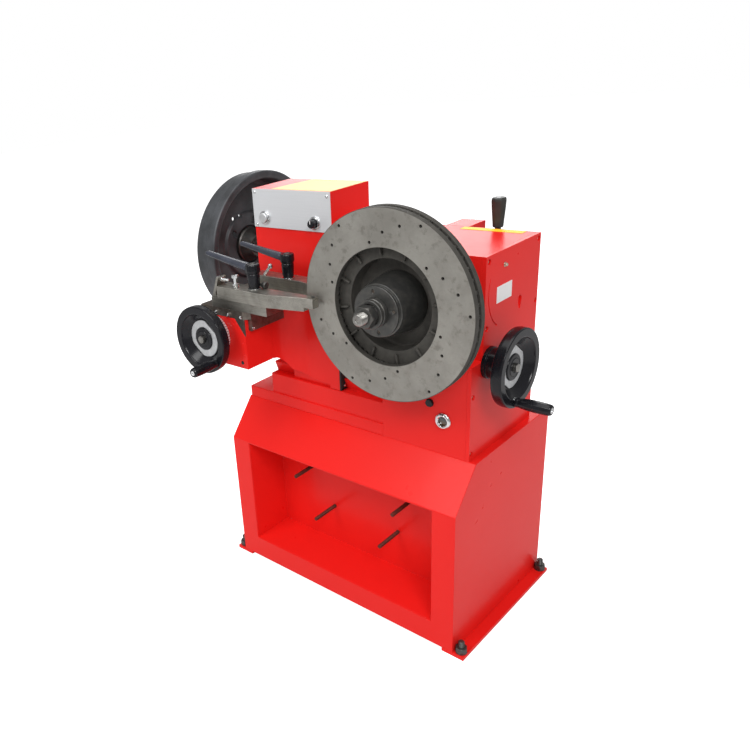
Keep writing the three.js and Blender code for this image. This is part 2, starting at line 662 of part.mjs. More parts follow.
function spurGear(teeth, boreRadius, from, face, turn) {
  const outline = gearOutline(teeth, 1, turn);
  const body = prism('y', outline, [from, from + face]);
  if (boreRadius === 0) {
    return body;
  }
  return cut(body, bar('y', boreRadius, [from - overrun, from + face + overrun], {}, fine));
}
piece(discGroup, 'disc_drive_gear', spurGear(gear.wheelTeeth, discShaft.radius + seat,
  gear.wheelY, gear.face, 0), darkSteel);

// Mitre gears meet where the two spindle axes cross
const mitrePitch = gear.module * mitre.teeth / 2;
const mitreScale = (mitrePitch - mitre.face) / mitrePitch;
function mitreGear(boreRadius, turn) {
  const crown = toSolid(taperedGear(mitre.teeth, mitre.face, mitreScale, turn));
  const hub = bar('z', mitre.hubRadius, [-mitre.hubLength, overrun], {});
  return cut(join(crown, hub), bar('z', boreRadius, [-mitre.hubLength - overrun, mitre.face + overrun], {}));
}
const halfTooth = Math.PI / mitre.teeth;
const discMitre = piece(discGroup, 'disc_mitre_gear', mitreGear(discShaft.tailRadius + seat, 0), darkSteel);
discMitre.rotation.x = -Math.PI / 2;
discMitre.position.y = drumAxisY - mitrePitch;

// Drum spindle with the drum and its clamp

const drumGroup = assembly(machineGroup, 0, drumAxisY, up(spindle.height));
piece(drumGroup, 'drum_spindle', turned('x', [
  [0, drumShaft.leftX], [drumShaft.threadRadius, drumShaft.leftX],
  [drumShaft.threadRadius, drumShaft.threadX], [drumShaft.radius, drumShaft.threadX],
  [drumShaft.radius, drumShaft.tailX], [drumShaft.tailRadius, drumShaft.tailX],
  [drumShaft.tailRadius, drumShaft.endX], [0, drumShaft.endX],
], {}), machinedSteel);

function brakeDrum() {
  const shell = turned('x', [
    [drum.boreRadius, drum.closedX], [drum.radius - drum.backChamfer, drum.closedX],
    [drum.radius, drum.closedX + drum.backChamfer], [drum.radius, drum.openX - drum.lipWidth],
    [drum.lipRadius, drum.openX - drum.lipWidth], [drum.lipRadius, drum.openX],
    [drum.innerRadius, drum.openX], [drum.innerRadius, drum.closedX + drum.web],
    [drum.boreRadius, drum.closedX + drum.web], [drum.boreRadius, drum.closedX],
  ], {}, fine);
  const holes = [];
  for (let i = 0; i < drum.studs; i += 1) {
    const angle = 2 * Math.PI * i / drum.studs;
    const at = { y: drum.studCircle * Math.cos(angle), z: drum.studCircle * Math.sin(angle) };
    holes.push(bar('x', drum.studRadius, [drum.closedX - overrun, drum.closedX + drum.web + overrun], at));
  }
  return cut(shell, ...holes);
}
piece(drumGroup, 'brake_drum', brakeDrum(), blackPaint);

const coneLeft = drum.closedX + drum.web + seat;
const coneBore = drumShaft.radius + seat;
piece(drumGroup, 'drum_cone', turned('x', [
  [coneBore, coneLeft], [cone.bigRadius, coneLeft], [cone.bigRadius, coneLeft + cone.flange],
  [cone.smallRadius, cone.rightX], [coneBore, cone.rightX], [coneBore, coneLeft],
], {}), blackPaint);
const nutRight = drum.closedX - seat;
piece(drumGroup, 'drum_nut', cut(
  join(
    bar('x', drumNut.washerRadius, [nutRight - drumNut.washer, nutRight], {}),
    hexagon('x', drumNut.across,
      [nutRight - drumNut.washer - drumNut.length, nutRight - drumNut.washer / 2], {}),
  ),
  bar('x', drumShaft.threadRadius + seat, [drumShaft.leftX - overrun, nutRight + overrun], {}),
  bar('x', drumShaft.radius + seat, [drumShaft.threadX - seat, nutRight + overrun], {}),
), darkSteel);
piece(drumGroup, 'drum_outer_bearing', bearingRing('x', drumBearing, drumShaft.radius,
  drumBearing.leftX), chrome);
piece(drumGroup, 'drum_inner_bearing', bearingRing('x', drumBearing, drumShaft.radius,
  drumBearing.rightX), chrome);
const drumMitre = piece(drumGroup, 'drum_mitre_gear', mitreGear(drumShaft.tailRadius + seat, halfTooth),
  darkSteel);
drumMitre.rotation.y = Math.PI / 2;
drumMitre.position.x = discAxisX - mitrePitch;

// Input shaft with its pinion, and the driven pulley behind the casting

const inputGroup = assembly(machineGroup, input.x, 0, inputLine.z);
const meshAngle = Math.atan2(inputDrop, inputSide);
const wheelPhase = (Math.PI + meshAngle) / (2 * Math.PI / gear.wheelTeeth);
const pinionStep = 2 * Math.PI / gear.pinionTeeth;
const pinionTurn = meshAngle + (wheelPhase - Math.floor(wheelPhase) + 0.5) * pinionStep;
const pinionFrom = gear.wheelY - (gear.pinionFace - gear.face) / 2;
piece(inputGroup, 'input_shaft', join(
  bar('y', input.radius, [input.frontY, input.endY], {}),
  spurGear(gear.pinionTeeth, 0, pinionFrom, gear.pinionFace, pinionTurn),
), machinedSteel);

function beltPulley(radius, boreRadius) {
  const half = pulley.width / 2;
  return [
    [boreRadius, -half], [radius, -half], [radius, pulley.flange - half],
    [radius - pulley.grooveDepth, pulley.flange - half], [radius - pulley.grooveDepth, half - pulley.flange],
    [radius, half - pulley.flange], [radius, half], [boreRadius, half], [boreRadius, -half],
  ];
}
const pulleyY = input.pulleyY + pulley.width / 2;
piece(inputGroup, 'driven_pulley', turned('y', beltPulley(pulley.drivenRadius, input.radius + seat),
  { y: pulleyY }), castGrey);

// Motor on the back wall of the lower room

const motorGroup = assembly(machineGroup, motor.x, 0, motorLine.z);
const motorBack = head.back - head.wall - seat;
const motorFront = motorBack - motor.length;
piece(motorGroup, 'motor', cut(
  turned('y', [
    [0, motorFront], [motor.capRadius, motorFront], [motor.radius, motorFront + motor.capDepth],
    [motor.radius, motorBack - motor.capDepth], [motor.capRadius, motorBack], [0, motorBack],
  ], {}),
  bar('y', motor.shaftRadius + seat, [motorBack - motor.capDepth * 3, motorBack + overrun], {}),
), castGrey);
const pulleyEnd = input.pulleyY + pulley.width;
piece(motorGroup, 'motor_pulley', join(
  turned('y', beltPulley(pulley.motorRadius, motor.shaftRadius - seat), { y: pulleyY }),
  bar('y', motor.shaftRadius, [motorBack - motor.capDepth * 2, pulleyEnd + overrun], {}),
), castGrey);

// Belt round both pulleys: outer and inner tangent outlines
function beltOutline(gap) {
  const far = { x: input.x - motor.x, z: inputLine.z - motorLine.z };
  const distance = Math.hypot(far.x, far.z);
  const bigRadius = pulley.drivenRadius - pulley.grooveDepth + gap;
  const smallRadius = pulley.motorRadius - pulley.grooveDepth + gap;
  const heading = Math.atan2(far.z, far.x);
  const lean = Math.acos((bigRadius - smallRadius) / distance);
  const points = [];
  const steps = coarse;
  for (let i = 0; i <= steps; i += 1) {
    const angle = heading - lean + 2 * lean * i / steps;
    points.push([far.x + bigRadius * Math.cos(angle), far.z + bigRadius * Math.sin(angle)]);
  }
  for (let i = 0; i <= steps; i += 1) {
    const angle = heading + lean + (2 * Math.PI - 2 * lean) * i / steps;
    points.push([smallRadius * Math.cos(angle), smallRadius * Math.sin(angle)]);
  }
  return points;
}
const beltFrom = pulleyY - belt.width / 2;
piece(motorGroup, 'drive_belt', cut(
  prism('y', beltOutline(seat + belt.thickness), [beltFrom, beltFrom + belt.width]),
  prism('y', beltOutline(seat), [beltFrom - overrun, beltFrom + belt.width + overrun]),
), rubber);

// Carriage: its group stands on the bed's way at the saddle's left edge

const carriageGroup = assembly(machineGroup, carriage.boxRight, 0, 0);
const along = (x) => x - carriage.boxRight;
const saddleLeft = carriage.boxRight + seat;
const saddleBottom = up(bed.railTop) + carriage.runGap;
const nutHole = [
  along(carriage.saddleRight) - carriage.pocketWall - overrun, along(carriage.saddleRight) + overrun,
];
const lipLeft = seat;
const lipRight = lipLeft + way.lipThickness;
const blendMiddle = [along(saddleLeft) + carriage.blend, carriage.saddleFront - carriage.blend];
const blendPlan = [[along(saddleLeft), carriage.saddleFront + overrun]];
for (let i = 0; i <= carriage.blendSteps; i += 1) {
  const turn = (Math.PI / 2) * (i / carriage.blendSteps);
  blendPlan.push([
    blendMiddle[0] - carriage.blend * Math.cos(turn), blendMiddle[1] + carriage.blend * Math.sin(turn),
  ]);
}
blendPlan.push([blendMiddle[0], carriage.saddleFront + overrun]);
const undercut = carriage.undercut;
const legLeft = along(carriage.saddleRight) - carriage.legWidth;
piece(carriageGroup, 'saddle', cut(
  join(
    block([along(saddleLeft), along(carriage.saddleRight)], [carriage.saddleFront, carriage.saddleBack],
      [saddleBottom, up(carriage.saddleTop)]),
    prism('z', blendPlan, [saddleBottom, up(carriage.saddleTop)]),
  ),
  block([along(saddleLeft) - overrun, lipRight + seat],
    [carriage.boxFront, carriage.saddleFront], [up(way.lipBottom) - seat, up(carriage.saddleTop) + overrun]),
  prism('x', wayOutline(carriage.runGap), [along(carriage.boxLeft), along(carriage.saddleRight) + overrun]),
  block([along(saddleLeft) + carriage.pocketWall, along(carriage.saddleRight) - carriage.pocketWall],
    [carriage.saddleFront + carriage.pocketWall, carriage.saddleBack + overrun],
    [up(bed.wayTop) + carriage.pocketWall * 2, up(carriage.saddleTop) - carriage.pocketWall]),
  prism('y', [
    [along(saddleLeft) - overrun, saddleBottom - overrun], [legLeft, saddleBottom - overrun],
    [legLeft, saddleBottom + undercut.end], [blendMiddle[0], saddleBottom + undercut.right],
    [along(saddleLeft) + undercut.middleRun, saddleBottom + undercut.middle],
    [along(saddleLeft), saddleBottom + undercut.left],
    [along(saddleLeft) - overrun, saddleBottom + undercut.left],
  ], [blendMiddle[1] - overrun, carriage.saddleFront + carriage.recessDepth]),
  bar('x', feed.nutRadius + seat, nutHole, feedAxis),
), redPaint);
piece(carriageGroup, 'feed_nut', ring('x', feed.nutRadius, feed.radius + seat,
  [along(carriage.saddleRight) - feed.nutLength, along(carriage.saddleRight)], feedAxis), bronze);
piece(carriageGroup, 'saddle_wiper', cut(
  block([along(carriage.saddleRight) + seat, along(carriage.saddleRight) + carriage.wiper],
    [carriage.saddleFront, bed.wayBack + carriage.pocketWall], [saddleBottom, up(carriage.wiperTop)]),
  prism('x', wayOutline(carriage.runGap),
    [along(carriage.saddleRight) - overrun, along(carriage.saddleRight) + carriage.wiper + overrun]),
), rubber);

const crossAxis = { x: along(cross.x), z: up(cross.z) };
const boxX = [along(carriage.boxLeft), 0];
const boxZ = [up(carriage.boxBottom), up(carriage.boxTop)];
piece(carriageGroup, 'apron_box', cut(
  block(boxX, [carriage.boxFront, carriage.boxBack], boxZ),
  block([boxX[0] + carriage.boxWall, -carriage.boxWall],
    [carriage.boxFront + carriage.boxWall, carriage.boxBack - carriage.boxWall],
    [boxZ[0] + carriage.boxWall, boxZ[1] + overrun]),
  bar('y', cross.radius + seat,
    [carriage.boxFront - overrun, carriage.boxFront + carriage.boxWall + overrun], crossAxis),
  prism('y', [
    [-carriage.cornerWidth, boxZ[1]],
    [overrun, boxZ[1] - carriage.cornerHeight * (1 + overrun / carriage.cornerWidth)],
    [overrun, boxZ[1] + overrun], [-carriage.cornerWidth, boxZ[1] + overrun],
  ], [carriage.boxFront - overrun, carriage.boxFront + carriage.cornerDepth + seat]),
), redPaint);

const wayBottom = up(carriage.boxTop) + seat;
const flangeLeft = -carriage.cornerWidth + carriage.flangeLap;
const lugX = [along(cross.x) - table.lugWidth / 2, along(cross.x) + table.lugWidth / 2];
const lugY = [table.lugY - table.lugLength / 2, table.lugY + table.lugLength / 2];
const neckX = [lugX[1] - table.neckWidth, lugX[1]];
piece(carriageGroup, 'way_plate', cut(
  join(
    prism('z', [
      [boxX[0], carriage.boxFront], [lipRight - way.cornerCut, carriage.boxFront],
      [lipRight, carriage.boxFront + way.cornerCut], [lipRight, way.back], [boxX[0], way.back],
    ], [wayBottom, up(way.top)]),
    block([lipLeft, lipRight], [carriage.boxFront + way.cornerCut, carriage.saddleFront - seat],
      [up(way.lipBottom), up(way.top)]),
    prism('y', [
      [flangeLeft, wayBottom], [0, wayBottom - carriage.cornerHeight],
      [0, wayBottom - carriage.flangeLap], [-carriage.cornerDepth, wayBottom + carriage.flangeLap],
      [flangeLeft, wayBottom + carriage.flangeLap],
    ], [carriage.boxFront, carriage.boxFront + carriage.cornerDepth]),
  ),
  block([neckX[0] - seat, neckX[1] + seat], [lugY[0] - table.slotSpare, lugY[1] + table.slotSpare],
    [wayBottom - overrun, up(way.top) + overrun]),
), darkSteel);

// Slide table and the two tool arms, in a group of their own

const slideGroup = assembly(carriageGroup, 0, 0, 0);
piece(slideGroup, 'slide_table', cut(
  join(
    block([along(table.left), along(table.right)], [carriage.boxFront, table.back],
      [up(table.bottom), up(table.top)]),
    block(neckX, lugY, [crossAxis.z, up(table.bottom) + overrun]),
    block(lugX, lugY, [crossAxis.z - table.lugHeight / 2, crossAxis.z + table.lugHeight / 2]),
  ),
  bar('y', cross.radius + seat, [lugY[0] - overrun, lugY[1] + overrun], crossAxis),
), machinedSteel);

const armBottom = up(table.top) + seat;
function toolArm(outer, inner, shoulderX, tipOuter, tipInner, hub) {
  const plan = [
    [along(arm.left), inner], [along(arm.left), outer], [along(shoulderX), outer],
    [along(arm.tipStart), tipOuter], [along(arm.tipX), tipOuter],
    [along(arm.tipX), tipInner], [along(arm.tipStart), tipInner], [along(shoulderX), inner],
  ];
  const wound = outer < inner ? plan : [...plan].reverse();
  const side = Math.sign(outer - inner);
  const seatMiddle = tipInner + side * bit.width / 2;
  const seatY = [
    seatMiddle - bit.width / 2 - (side < 0 ? seat : overrun),
    seatMiddle + bit.width / 2 + (side < 0 ? overrun : seat),
  ];
  return cut(
    prism('z', wound, [armBottom, up(arm.top)]),
    block([along(arm.tipStart), along(arm.tipX) + overrun],
      [Math.min(outer, tipInner) - overrun, Math.max(outer, tipInner) + overrun],
      [armBottom - overrun, up(arm.tipBottom)]),
    block([along(arm.tipX) - arm.seatLength, along(arm.tipX) + overrun], seatY,
      [up(arm.top) - arm.seatDepth, up(arm.top) + overrun]),
    bar('z', clamp.studRadius + seat, [up(arm.top) - clamp.studDepth - seat, up(arm.top) + overrun], hub),
  );
}
const frontHub = { x: along(clamp.frontX), y: clamp.frontY };
const rearHub = { x: along(clamp.rearX), y: clamp.rearY + seat };
piece(slideGroup, 'front_arm', toolArm(arm.frontOuter, arm.frontInner, arm.frontShoulderX,
  arm.frontTipOuter, arm.frontInner, frontHub), machinedSteel);
piece(slideGroup, 'rear_arm', toolArm(arm.rearOuter, arm.rearInner, arm.rearShoulderX,
  arm.rearTipOuter, arm.rearTipInner, rearHub), machinedSteel);

function toolBit(tipInner, side) {
  const back = tipInner + side * bit.width;
  const point = tipInner - side * bit.reach;
  const right = along(arm.tipX);
  const left = right - bit.length;
  const outline = [
    [left, back], [right, back], [right, point + side * bit.nose], [right - bit.nose, point],
    [left, tipInner],
  ];
  const wound = side < 0 ? outline : [...outline].reverse();
  const bottom = up(arm.top) - arm.seatDepth + seat;
  return prism('z', wound, [bottom, bottom + bit.thickness]);
}
piece(slideGroup, 'front_bit', toolBit(arm.frontInner, -1), chrome);
piece(slideGroup, 'rear_bit', toolBit(arm.rearTipInner, 1), chrome);

const bracketBottom = armBottom;
const bracketLeft = along(bracket.left);
piece(slideGroup, 'end_bracket', prism('y', [
  [bracketLeft, bracketBottom], [bracketLeft + bracket.footLength, bracketBottom],
  [bracketLeft + bracket.footLength, bracketBottom + bracket.footHeight],
  [bracketLeft + bracket.plate + bracket.footHeight, bracketBottom + bracket.footHeight],
  [bracketLeft + bracket.plate + bracket.lean, bracketBottom + bracket.height],
  [bracketLeft + bracket.lean, bracketBottom + bracket.height],
], [bracket.front, bracket.front + bracket.width]), machinedSteel);

// Clamp levers: a stud in the arm, a round hub and a rising tapered handle towards -X
function clampLever() {
  const hubTop = seat + clamp.hubHeight;
  const half = [clamp.leverRoot / 2, clamp.leverTip / 2];
  const tipLow = hubTop + clamp.leverRise - clamp.tipDepth;
  const corners = (x, halfWidth, low, high) => [
    [x, -halfWidth, low], [x, halfWidth, low], [x, halfWidth, high], [x, -halfWidth, high],
  ];
  const positions = [
    ...corners(0, half[0], hubTop - clamp.rootDepth, hubTop),
    ...corners(-clamp.leverLength, half[1], tipLow, tipLow + clamp.tipDepth),
  ];
  const index = [
    0, 1, 2, 0, 2, 3, 4, 6, 5, 4, 7, 6, 0, 5, 1, 0, 4, 5,
    1, 6, 2, 1, 5, 6, 2, 7, 3, 2, 6, 7, 3, 4, 0, 3, 7, 4,
  ];
  const handle = new THREE.BufferGeometry();
  handle.setAttribute('position', new THREE.Float32BufferAttribute(positions.flat(), 3));
  handle.setIndex(index);
  return join(
    turned('z', [
      [0, seat - clamp.studDepth], [clamp.studRadius, seat - clamp.studDepth],
      [clamp.studRadius, seat], [clamp.hubFoot, seat], [clamp.hubRadius, seat + clamp.footHeight],
      [clamp.hubRadius, hubTop], [0, hubTop],
    ], {}),
    toSolid(handle),
  );
}
const frontClampGroup = assembly(slideGroup, frontHub.x, frontHub.y, up(arm.top));
piece(frontClampGroup, 'front_clamp_lever', clampLever(), blackPaint);
const rearClampGroup = assembly(slideGroup, rearHub.x, rearHub.y, up(arm.top));
piece(rearClampGroup, 'rear_clamp_lever', clampLever(), blackPaint);

// Handwheel: a dished rim and web with a hub, turned along +Z with its open face up, and a handle pin

function handwheel(handleAngle, seatDepth, plateRadius, plateDepth) {
  const rimBack = -wheel.rimDepth;
  const rimInner = wheel.radius - wheel.rimWidth;
  const round = wheel.rimRound;
  const body = turned('z', [
    [wheel.boreRadius, -seatDepth], [plateRadius, -seatDepth],
    [plateRadius, -seatDepth + plateDepth], [dialRadius, -seatDepth + plateDepth],
    [dialRadius, -wheel.webBack], [wheel.webRadius + wheel.coneWall, -wheel.webBack],
    [rimInner + round, rimBack], [wheel.radius - round, rimBack], [wheel.radius, rimBack + round],
    [wheel.radius, -round], [wheel.radius - round, 0], [rimInner + round, 0], [rimInner, -round],
    [wheel.webRadius, -wheel.webFront], [wheel.hubRadius, -wheel.webFront],
    [wheel.hubRadius, -wheel.hubFront], [wheel.boreRadius, -wheel.hubFront],
    [wheel.boreRadius, -seatDepth],
  ], {}, fine);
  const at = { x: wheel.handleCircle * Math.cos(handleAngle), y: wheel.handleCircle * Math.sin(handleAngle) };
  return join(body, bar('z', wheel.pinRadius, [-wheel.rimWidth, wheel.pinLength], at));
}

function handleGrip() {
  const bore = wheel.pinRadius + seat;
  const end = grip.start + grip.length;
  const pinEnd = wheel.pinLength + seat;
  return turned('z', [
    [bore, seat], [grip.waist, seat], [grip.waist, grip.start], [grip.radius, grip.start + grip.swell],
    [grip.radius, end - grip.start], [grip.waist, end], [0, end], [0, pinEnd], [bore, pinEnd], [bore, seat],
  ], {});
}

function shaftWithCollar(shape, length, collarAt) {
  return join(
    bar('z', shape.radius, [-length, -wheel.hubFront], {}),
    bar('z', shape.collarRadius, collarAt, {}),
  );
}

// Left handwheel on the apron box, its axis along -Y

const leftHandleAngle = THREE.MathUtils.degToRad(-42);
const leftWheelGroup = assembly(carriageGroup, crossAxis.x, cross.wheelY, crossAxis.z);
leftWheelGroup.rotation.x = Math.PI / 2;
piece(leftWheelGroup, 'left_handwheel', handwheel(leftHandleAngle,
  carriage.boxFront - seat - cross.wheelY, dialPlate.leftRadius, dialPlate.leftDepth), blackPaint);
const boxInside = cross.wheelY - carriage.boxFront - carriage.boxWall - seat;
piece(leftWheelGroup, 'cross_screw', shaftWithCollar(cross, cross.backY - cross.wheelY,
  [boxInside - cross.radius, boxInside]), machinedSteel);
const leftGripGroup = assembly(leftWheelGroup, wheel.handleCircle * Math.cos(leftHandleAngle),
  wheel.handleCircle * Math.sin(leftHandleAngle), 0);
piece(leftGripGroup, 'left_handle', handleGrip(), blackPaint);

// Right handwheel beside the side cover, its axis along +X

const rightHandleAngle = THREE.MathUtils.degToRad(-12);
const rightWheelGroup = assembly(machineGroup, feed.wheelX, feed.y, up(feed.z));
rightWheelGroup.rotation.y = Math.PI / 2;
piece(rightWheelGroup, 'right_handwheel', handwheel(rightHandleAngle,
  feed.wheelX - head.right - seat, dialPlate.rightRadius, dialPlate.rightDepth), blackPaint);
const insideHead = feed.leftX - feed.wheelX;
const neckFace = head.neckLeft - feed.wheelX - seat;
piece(rightWheelGroup, 'feed_screw', shaftWithCollar(feed, -insideHead,
  [neckFace - feed.radius, neckFace]), machinedSteel);
const rightGripGroup = assembly(rightWheelGroup, wheel.handleCircle * Math.cos(rightHandleAngle),
  wheel.handleCircle * Math.sin(rightHandleAngle), 0);
piece(rightGripGroup, 'right_handle', handleGrip(), blackPaint);

// The origin is the middle of the box round the lathe, on the floor

lathe.updateMatrixWorld(true);
const bounds = new THREE.Box3().setFromObject(lathe, true);
lathe.position.set(-(bounds.min.x + bounds.max.x) / 2, -(bounds.min.y + bounds.max.y) / 2, -bounds.min.z);

export default lathe;
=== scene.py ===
"""Looks of a bench brake lathe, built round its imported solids.

Shapes are written in millimetres from the stand's left front corner, at the top of its foot
bars, with x to the operator's right, y to the back and z up. They become metres in the row
frame when their mesh is made.
"""

import json
import math

import bmesh
import bpy
import numpy as np
from mathutils import Matrix, Vector


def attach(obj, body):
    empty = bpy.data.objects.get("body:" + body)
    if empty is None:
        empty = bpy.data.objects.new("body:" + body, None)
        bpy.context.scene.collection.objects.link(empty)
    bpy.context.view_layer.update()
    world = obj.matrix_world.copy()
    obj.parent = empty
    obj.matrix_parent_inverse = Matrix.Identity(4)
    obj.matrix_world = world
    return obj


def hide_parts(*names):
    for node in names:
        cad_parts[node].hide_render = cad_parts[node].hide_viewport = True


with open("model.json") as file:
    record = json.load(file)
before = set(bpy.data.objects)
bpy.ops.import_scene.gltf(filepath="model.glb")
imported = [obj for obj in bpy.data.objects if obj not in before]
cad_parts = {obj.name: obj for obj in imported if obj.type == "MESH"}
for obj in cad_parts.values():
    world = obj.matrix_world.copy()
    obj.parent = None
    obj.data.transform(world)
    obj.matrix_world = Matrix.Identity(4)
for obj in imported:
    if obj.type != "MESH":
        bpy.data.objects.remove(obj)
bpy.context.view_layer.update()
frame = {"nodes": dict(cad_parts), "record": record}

CORNER = np.array([-252.0, -136.5, 8.0])
MILLIMETRE = 0.001
TURN = 2 * math.pi

# Points on the axes that finishes and shapes share

DISC = (461, 0, 727)
DRUM = (0, 266, 727)
SIGHT_GLASS = (529, 0, 484)

# The camera, at the photograph's place and angle

CAMERA_PLACE = (0.964014, -1.221217, 1.152779)
CAMERA_YAW = 0.84092
CAMERA_PITCH = 0.41175
CAMERA_ROLL = -0.11044
SENSOR_WIDTH = 36
LENS = 35.856
SHIFT = (0.1935, 0.0289)


def place_camera():
    """A camera at the photograph's viewpoint: yaw about z, pitch down, then roll about its own axis."""
    forward = Vector((
        -math.sin(CAMERA_YAW) * math.cos(CAMERA_PITCH),
        math.cos(CAMERA_YAW) * math.cos(CAMERA_PITCH),
        -math.sin(CAMERA_PITCH),
    ))
    level = Vector((math.cos(CAMERA_YAW), math.sin(CAMERA_YAW), 0))
    upright = level.cross(forward)
    across = math.cos(CAMERA_ROLL) * level + math.sin(CAMERA_ROLL) * upright
    up = math.cos(CAMERA_ROLL) * upright - math.sin(CAMERA_ROLL) * level
    data = bpy.data.cameras.new("photo_camera")
    data.sensor_width = SENSOR_WIDTH
    data.lens = LENS
    data.shift_x, data.shift_y = SHIFT
    data.clip_start = 0.05
    data.clip_end = 60
    camera = bpy.data.objects.new("photo_camera", data)
    turn = Matrix((across, up, -forward)).transposed().to_4x4()
    camera.matrix_world = Matrix.Translation(CAMERA_PLACE) @ turn
    bpy.context.scene.collection.objects.link(camera)
    bpy.context.scene.camera = camera


place_camera()


# Shader maths


class Value:
    """One value in a material. Its operators add Math nodes."""

    def __init__(self, paint, socket):
        self.paint = paint
        self.socket = socket

    def maths(self, operation, *others):
        return self.paint.add("Math", {"operation": operation}, dict(enumerate((self, *others))))

    def reflected(self, operation, first):
        return self.paint.add("Math", {"operation": operation}, {0: first, 1: self})

    def __add__(self, other):
        return self.maths("ADD", other)

    def __radd__(self, other):
        return self.maths("ADD", other)

    def __sub__(self, other):
        return self.maths("SUBTRACT", other)

    def __rsub__(self, other):
        return self.reflected("SUBTRACT", other)

    def __mul__(self, other):
        return self.maths("MULTIPLY", other)

    def __rmul__(self, other):
        return self.maths("MULTIPLY", other)

    def __pow__(self, other):
        return self.maths("POWER", other)

    def above(self, edge, soft):
        """A mask that goes from 0 to 1 as the value passes edge, over a width soft."""
        return self.paint.add("MapRange", {"interpolation_type": "SMOOTHSTEP"}, {
            "Value": self, "From Min": edge - soft / 2, "From Max": edge + soft / 2,
        })


class Paint:
    """A material being made, with one principled shader."""

    def __init__(self, name, **surface):
        self.material = bpy.data.materials.new(name)
        self.material.use_nodes = True
        self.tree = self.material.node_tree
        self.tree.nodes.clear()
        self.shader = self.tree.nodes.new("ShaderNodeBsdfPrincipled")
        output = self.tree.nodes.new("ShaderNodeOutputMaterial")
        self.tree.links.new(self.shader.outputs[0], output.inputs["Surface"])
        self.set(**surface)

    def feed(self, socket, value):
        if isinstance(value, Value):
            self.tree.links.new(value.socket, socket)
        elif isinstance(value, tuple) and len(value) == 3 and socket.type == "RGBA":
            socket.default_value = (*value, 1)
        else:
            socket.default_value = value

    def add(self, kind, settings, values, out=0):
        """A node of a type, with its settings made first and then the values or links of its sockets."""
        node = self.tree.nodes.new("ShaderNode" + kind)
        for name, setting in settings.items():
            setattr(node, name, setting)
        for name, value in values.items():
            self.feed(node.inputs[name], value)
        return Value(self, node.outputs[out])

    def set(self, **surface):
        for name, value in surface.items():
            self.feed(self.shader.inputs[name.replace("_", " ").title().replace("Ior", "IOR")], value)

    def place(self):
        """The point's place on the object, in metres in the row frame."""
        return self.add("TexCoord", {}, {}, out=3)

    def parts(self):
        """The place as three numbers."""
        node = self.tree.nodes.new("ShaderNodeSeparateXYZ")
        self.feed(node.inputs[0], self.place())
        return [Value(self, node.outputs[i]) for i in range(3)]

    def vector(self, x, y, z):
        return self.add("CombineXYZ", {}, {0: x, 1: y, 2: z})

    def noise(self, scale, detail, rough=0.5, at=None):
        return self.add("TexNoise", {}, {
            "Vector": at or self.place(), "Scale": scale, "Detail": detail, "Roughness": rough,
        })

    def blend(self, share, first, second):
        """Colour first where share is 0 and second where it is 1."""
        settings = {"data_type": "RGBA", "clamp_factor": True}
        return self.add("Mix", settings, {0: share, 6: first, 7: second}, out=2)

    def bump(self, height, distance):
        """Raises the surface by height times distance, in metres."""
        normal = self.add("Bump", {}, {"Height": height, "Distance": distance})
        self.tree.links.new(normal.socket, self.shader.inputs["Normal"])


def stretched(paint, x, y, z):
    """The place with each axis multiplied, for grain that runs along one axis."""
    return paint.add("VectorMath", {"operation": "MULTIPLY"}, {0: paint.place(), 1: (x, y, z)})


# Finishes


def enamel(name, colour, deep, ripple, gloss):
    """Glossy enamel: a little colour drift, orange peel, and ripples of the filler under it."""
    paint = Paint(name, coat_weight=0.05, coat_roughness=0.08, specular_ior_level=0.16)
    drift = paint.noise(5.0, 2.0)
    speck = paint.noise(260.0, 2.0)
    paint.set(
        base_color=paint.blend(drift.above(0.5, 0.6) * 0.35, colour, deep),
        roughness=gloss + 0.06 * paint.noise(45.0, 4.0) + 0.04 * drift,
    )
    paint.bump(paint.noise(22.0, 2.0) * ripple + speck * 0.04 + paint.noise(700.0, 1.0) * 0.02, 0.0005)
    return paint.material


def grained_steel(name, light, dark, grain, roughness):
    """Ground or brushed steel: fine lines along one axis, with oil stains."""
    paint = Paint(name, metallic=1.0)
    lines = paint.noise(1.0, 3.0, 0.6, stretched(paint, *grain))
    stain = paint.noise(38.0, 4.0, 0.6).above(0.55, 0.35)
    shade = paint.blend(lines.above(0.5, 0.5), dark, light)
    paint.set(
        base_color=paint.blend(stain * 0.5, shade, tuple(0.55 * c for c in dark)),
        roughness=roughness + 0.14 * lines + 0.08 * stain,
    )
    paint.bump(lines, 0.00008)
    return paint.material


def oxide(name, colour, warm, roughness, metallic=0.75):
    """Black oxide or oiled steel: dark, with warm patches and a soft sheen."""
    paint = Paint(name, metallic=metallic, specular_ior_level=0.3)
    patch = paint.noise(70.0, 5.0, 0.6)
    paint.set(
        base_color=paint.blend(patch.above(0.55, 0.4), colour, warm),
        roughness=roughness + 0.18 * (patch - 0.5),
    )
    paint.bump(paint.noise(420.0, 3.0), 0.00012)
    return paint.material


def bright(name, colour, roughness):
    """Bright plating with faint wipe marks."""
    paint = Paint(name, metallic=1.0)
    wipe = paint.noise(120.0, 3.0)
    paint.set(
        base_color=paint.blend(wipe.above(0.5, 0.6), colour, tuple(0.8 * c for c in colour)),
        roughness=roughness + 0.08 * wipe,
    )
    paint.bump(paint.noise(300.0, 2.0), 0.00003)
    return paint.material


def moulding(name, colour, roughness, gloss):
    """Moulded plastic: dark and glossy with a faint pebble."""
    paint = Paint(name, coat_weight=gloss, coat_roughness=0.12, specular_ior_level=0.28)
    drift = paint.noise(40.0, 3.0)
    paint.set(
        base_color=paint.blend(drift.above(0.5, 0.5), colour, tuple(1.6 * c for c in colour)),
        roughness=roughness + 0.10 * drift,
    )
    paint.bump(paint.noise(900.0, 2.0), 0.00004)
    return paint.material


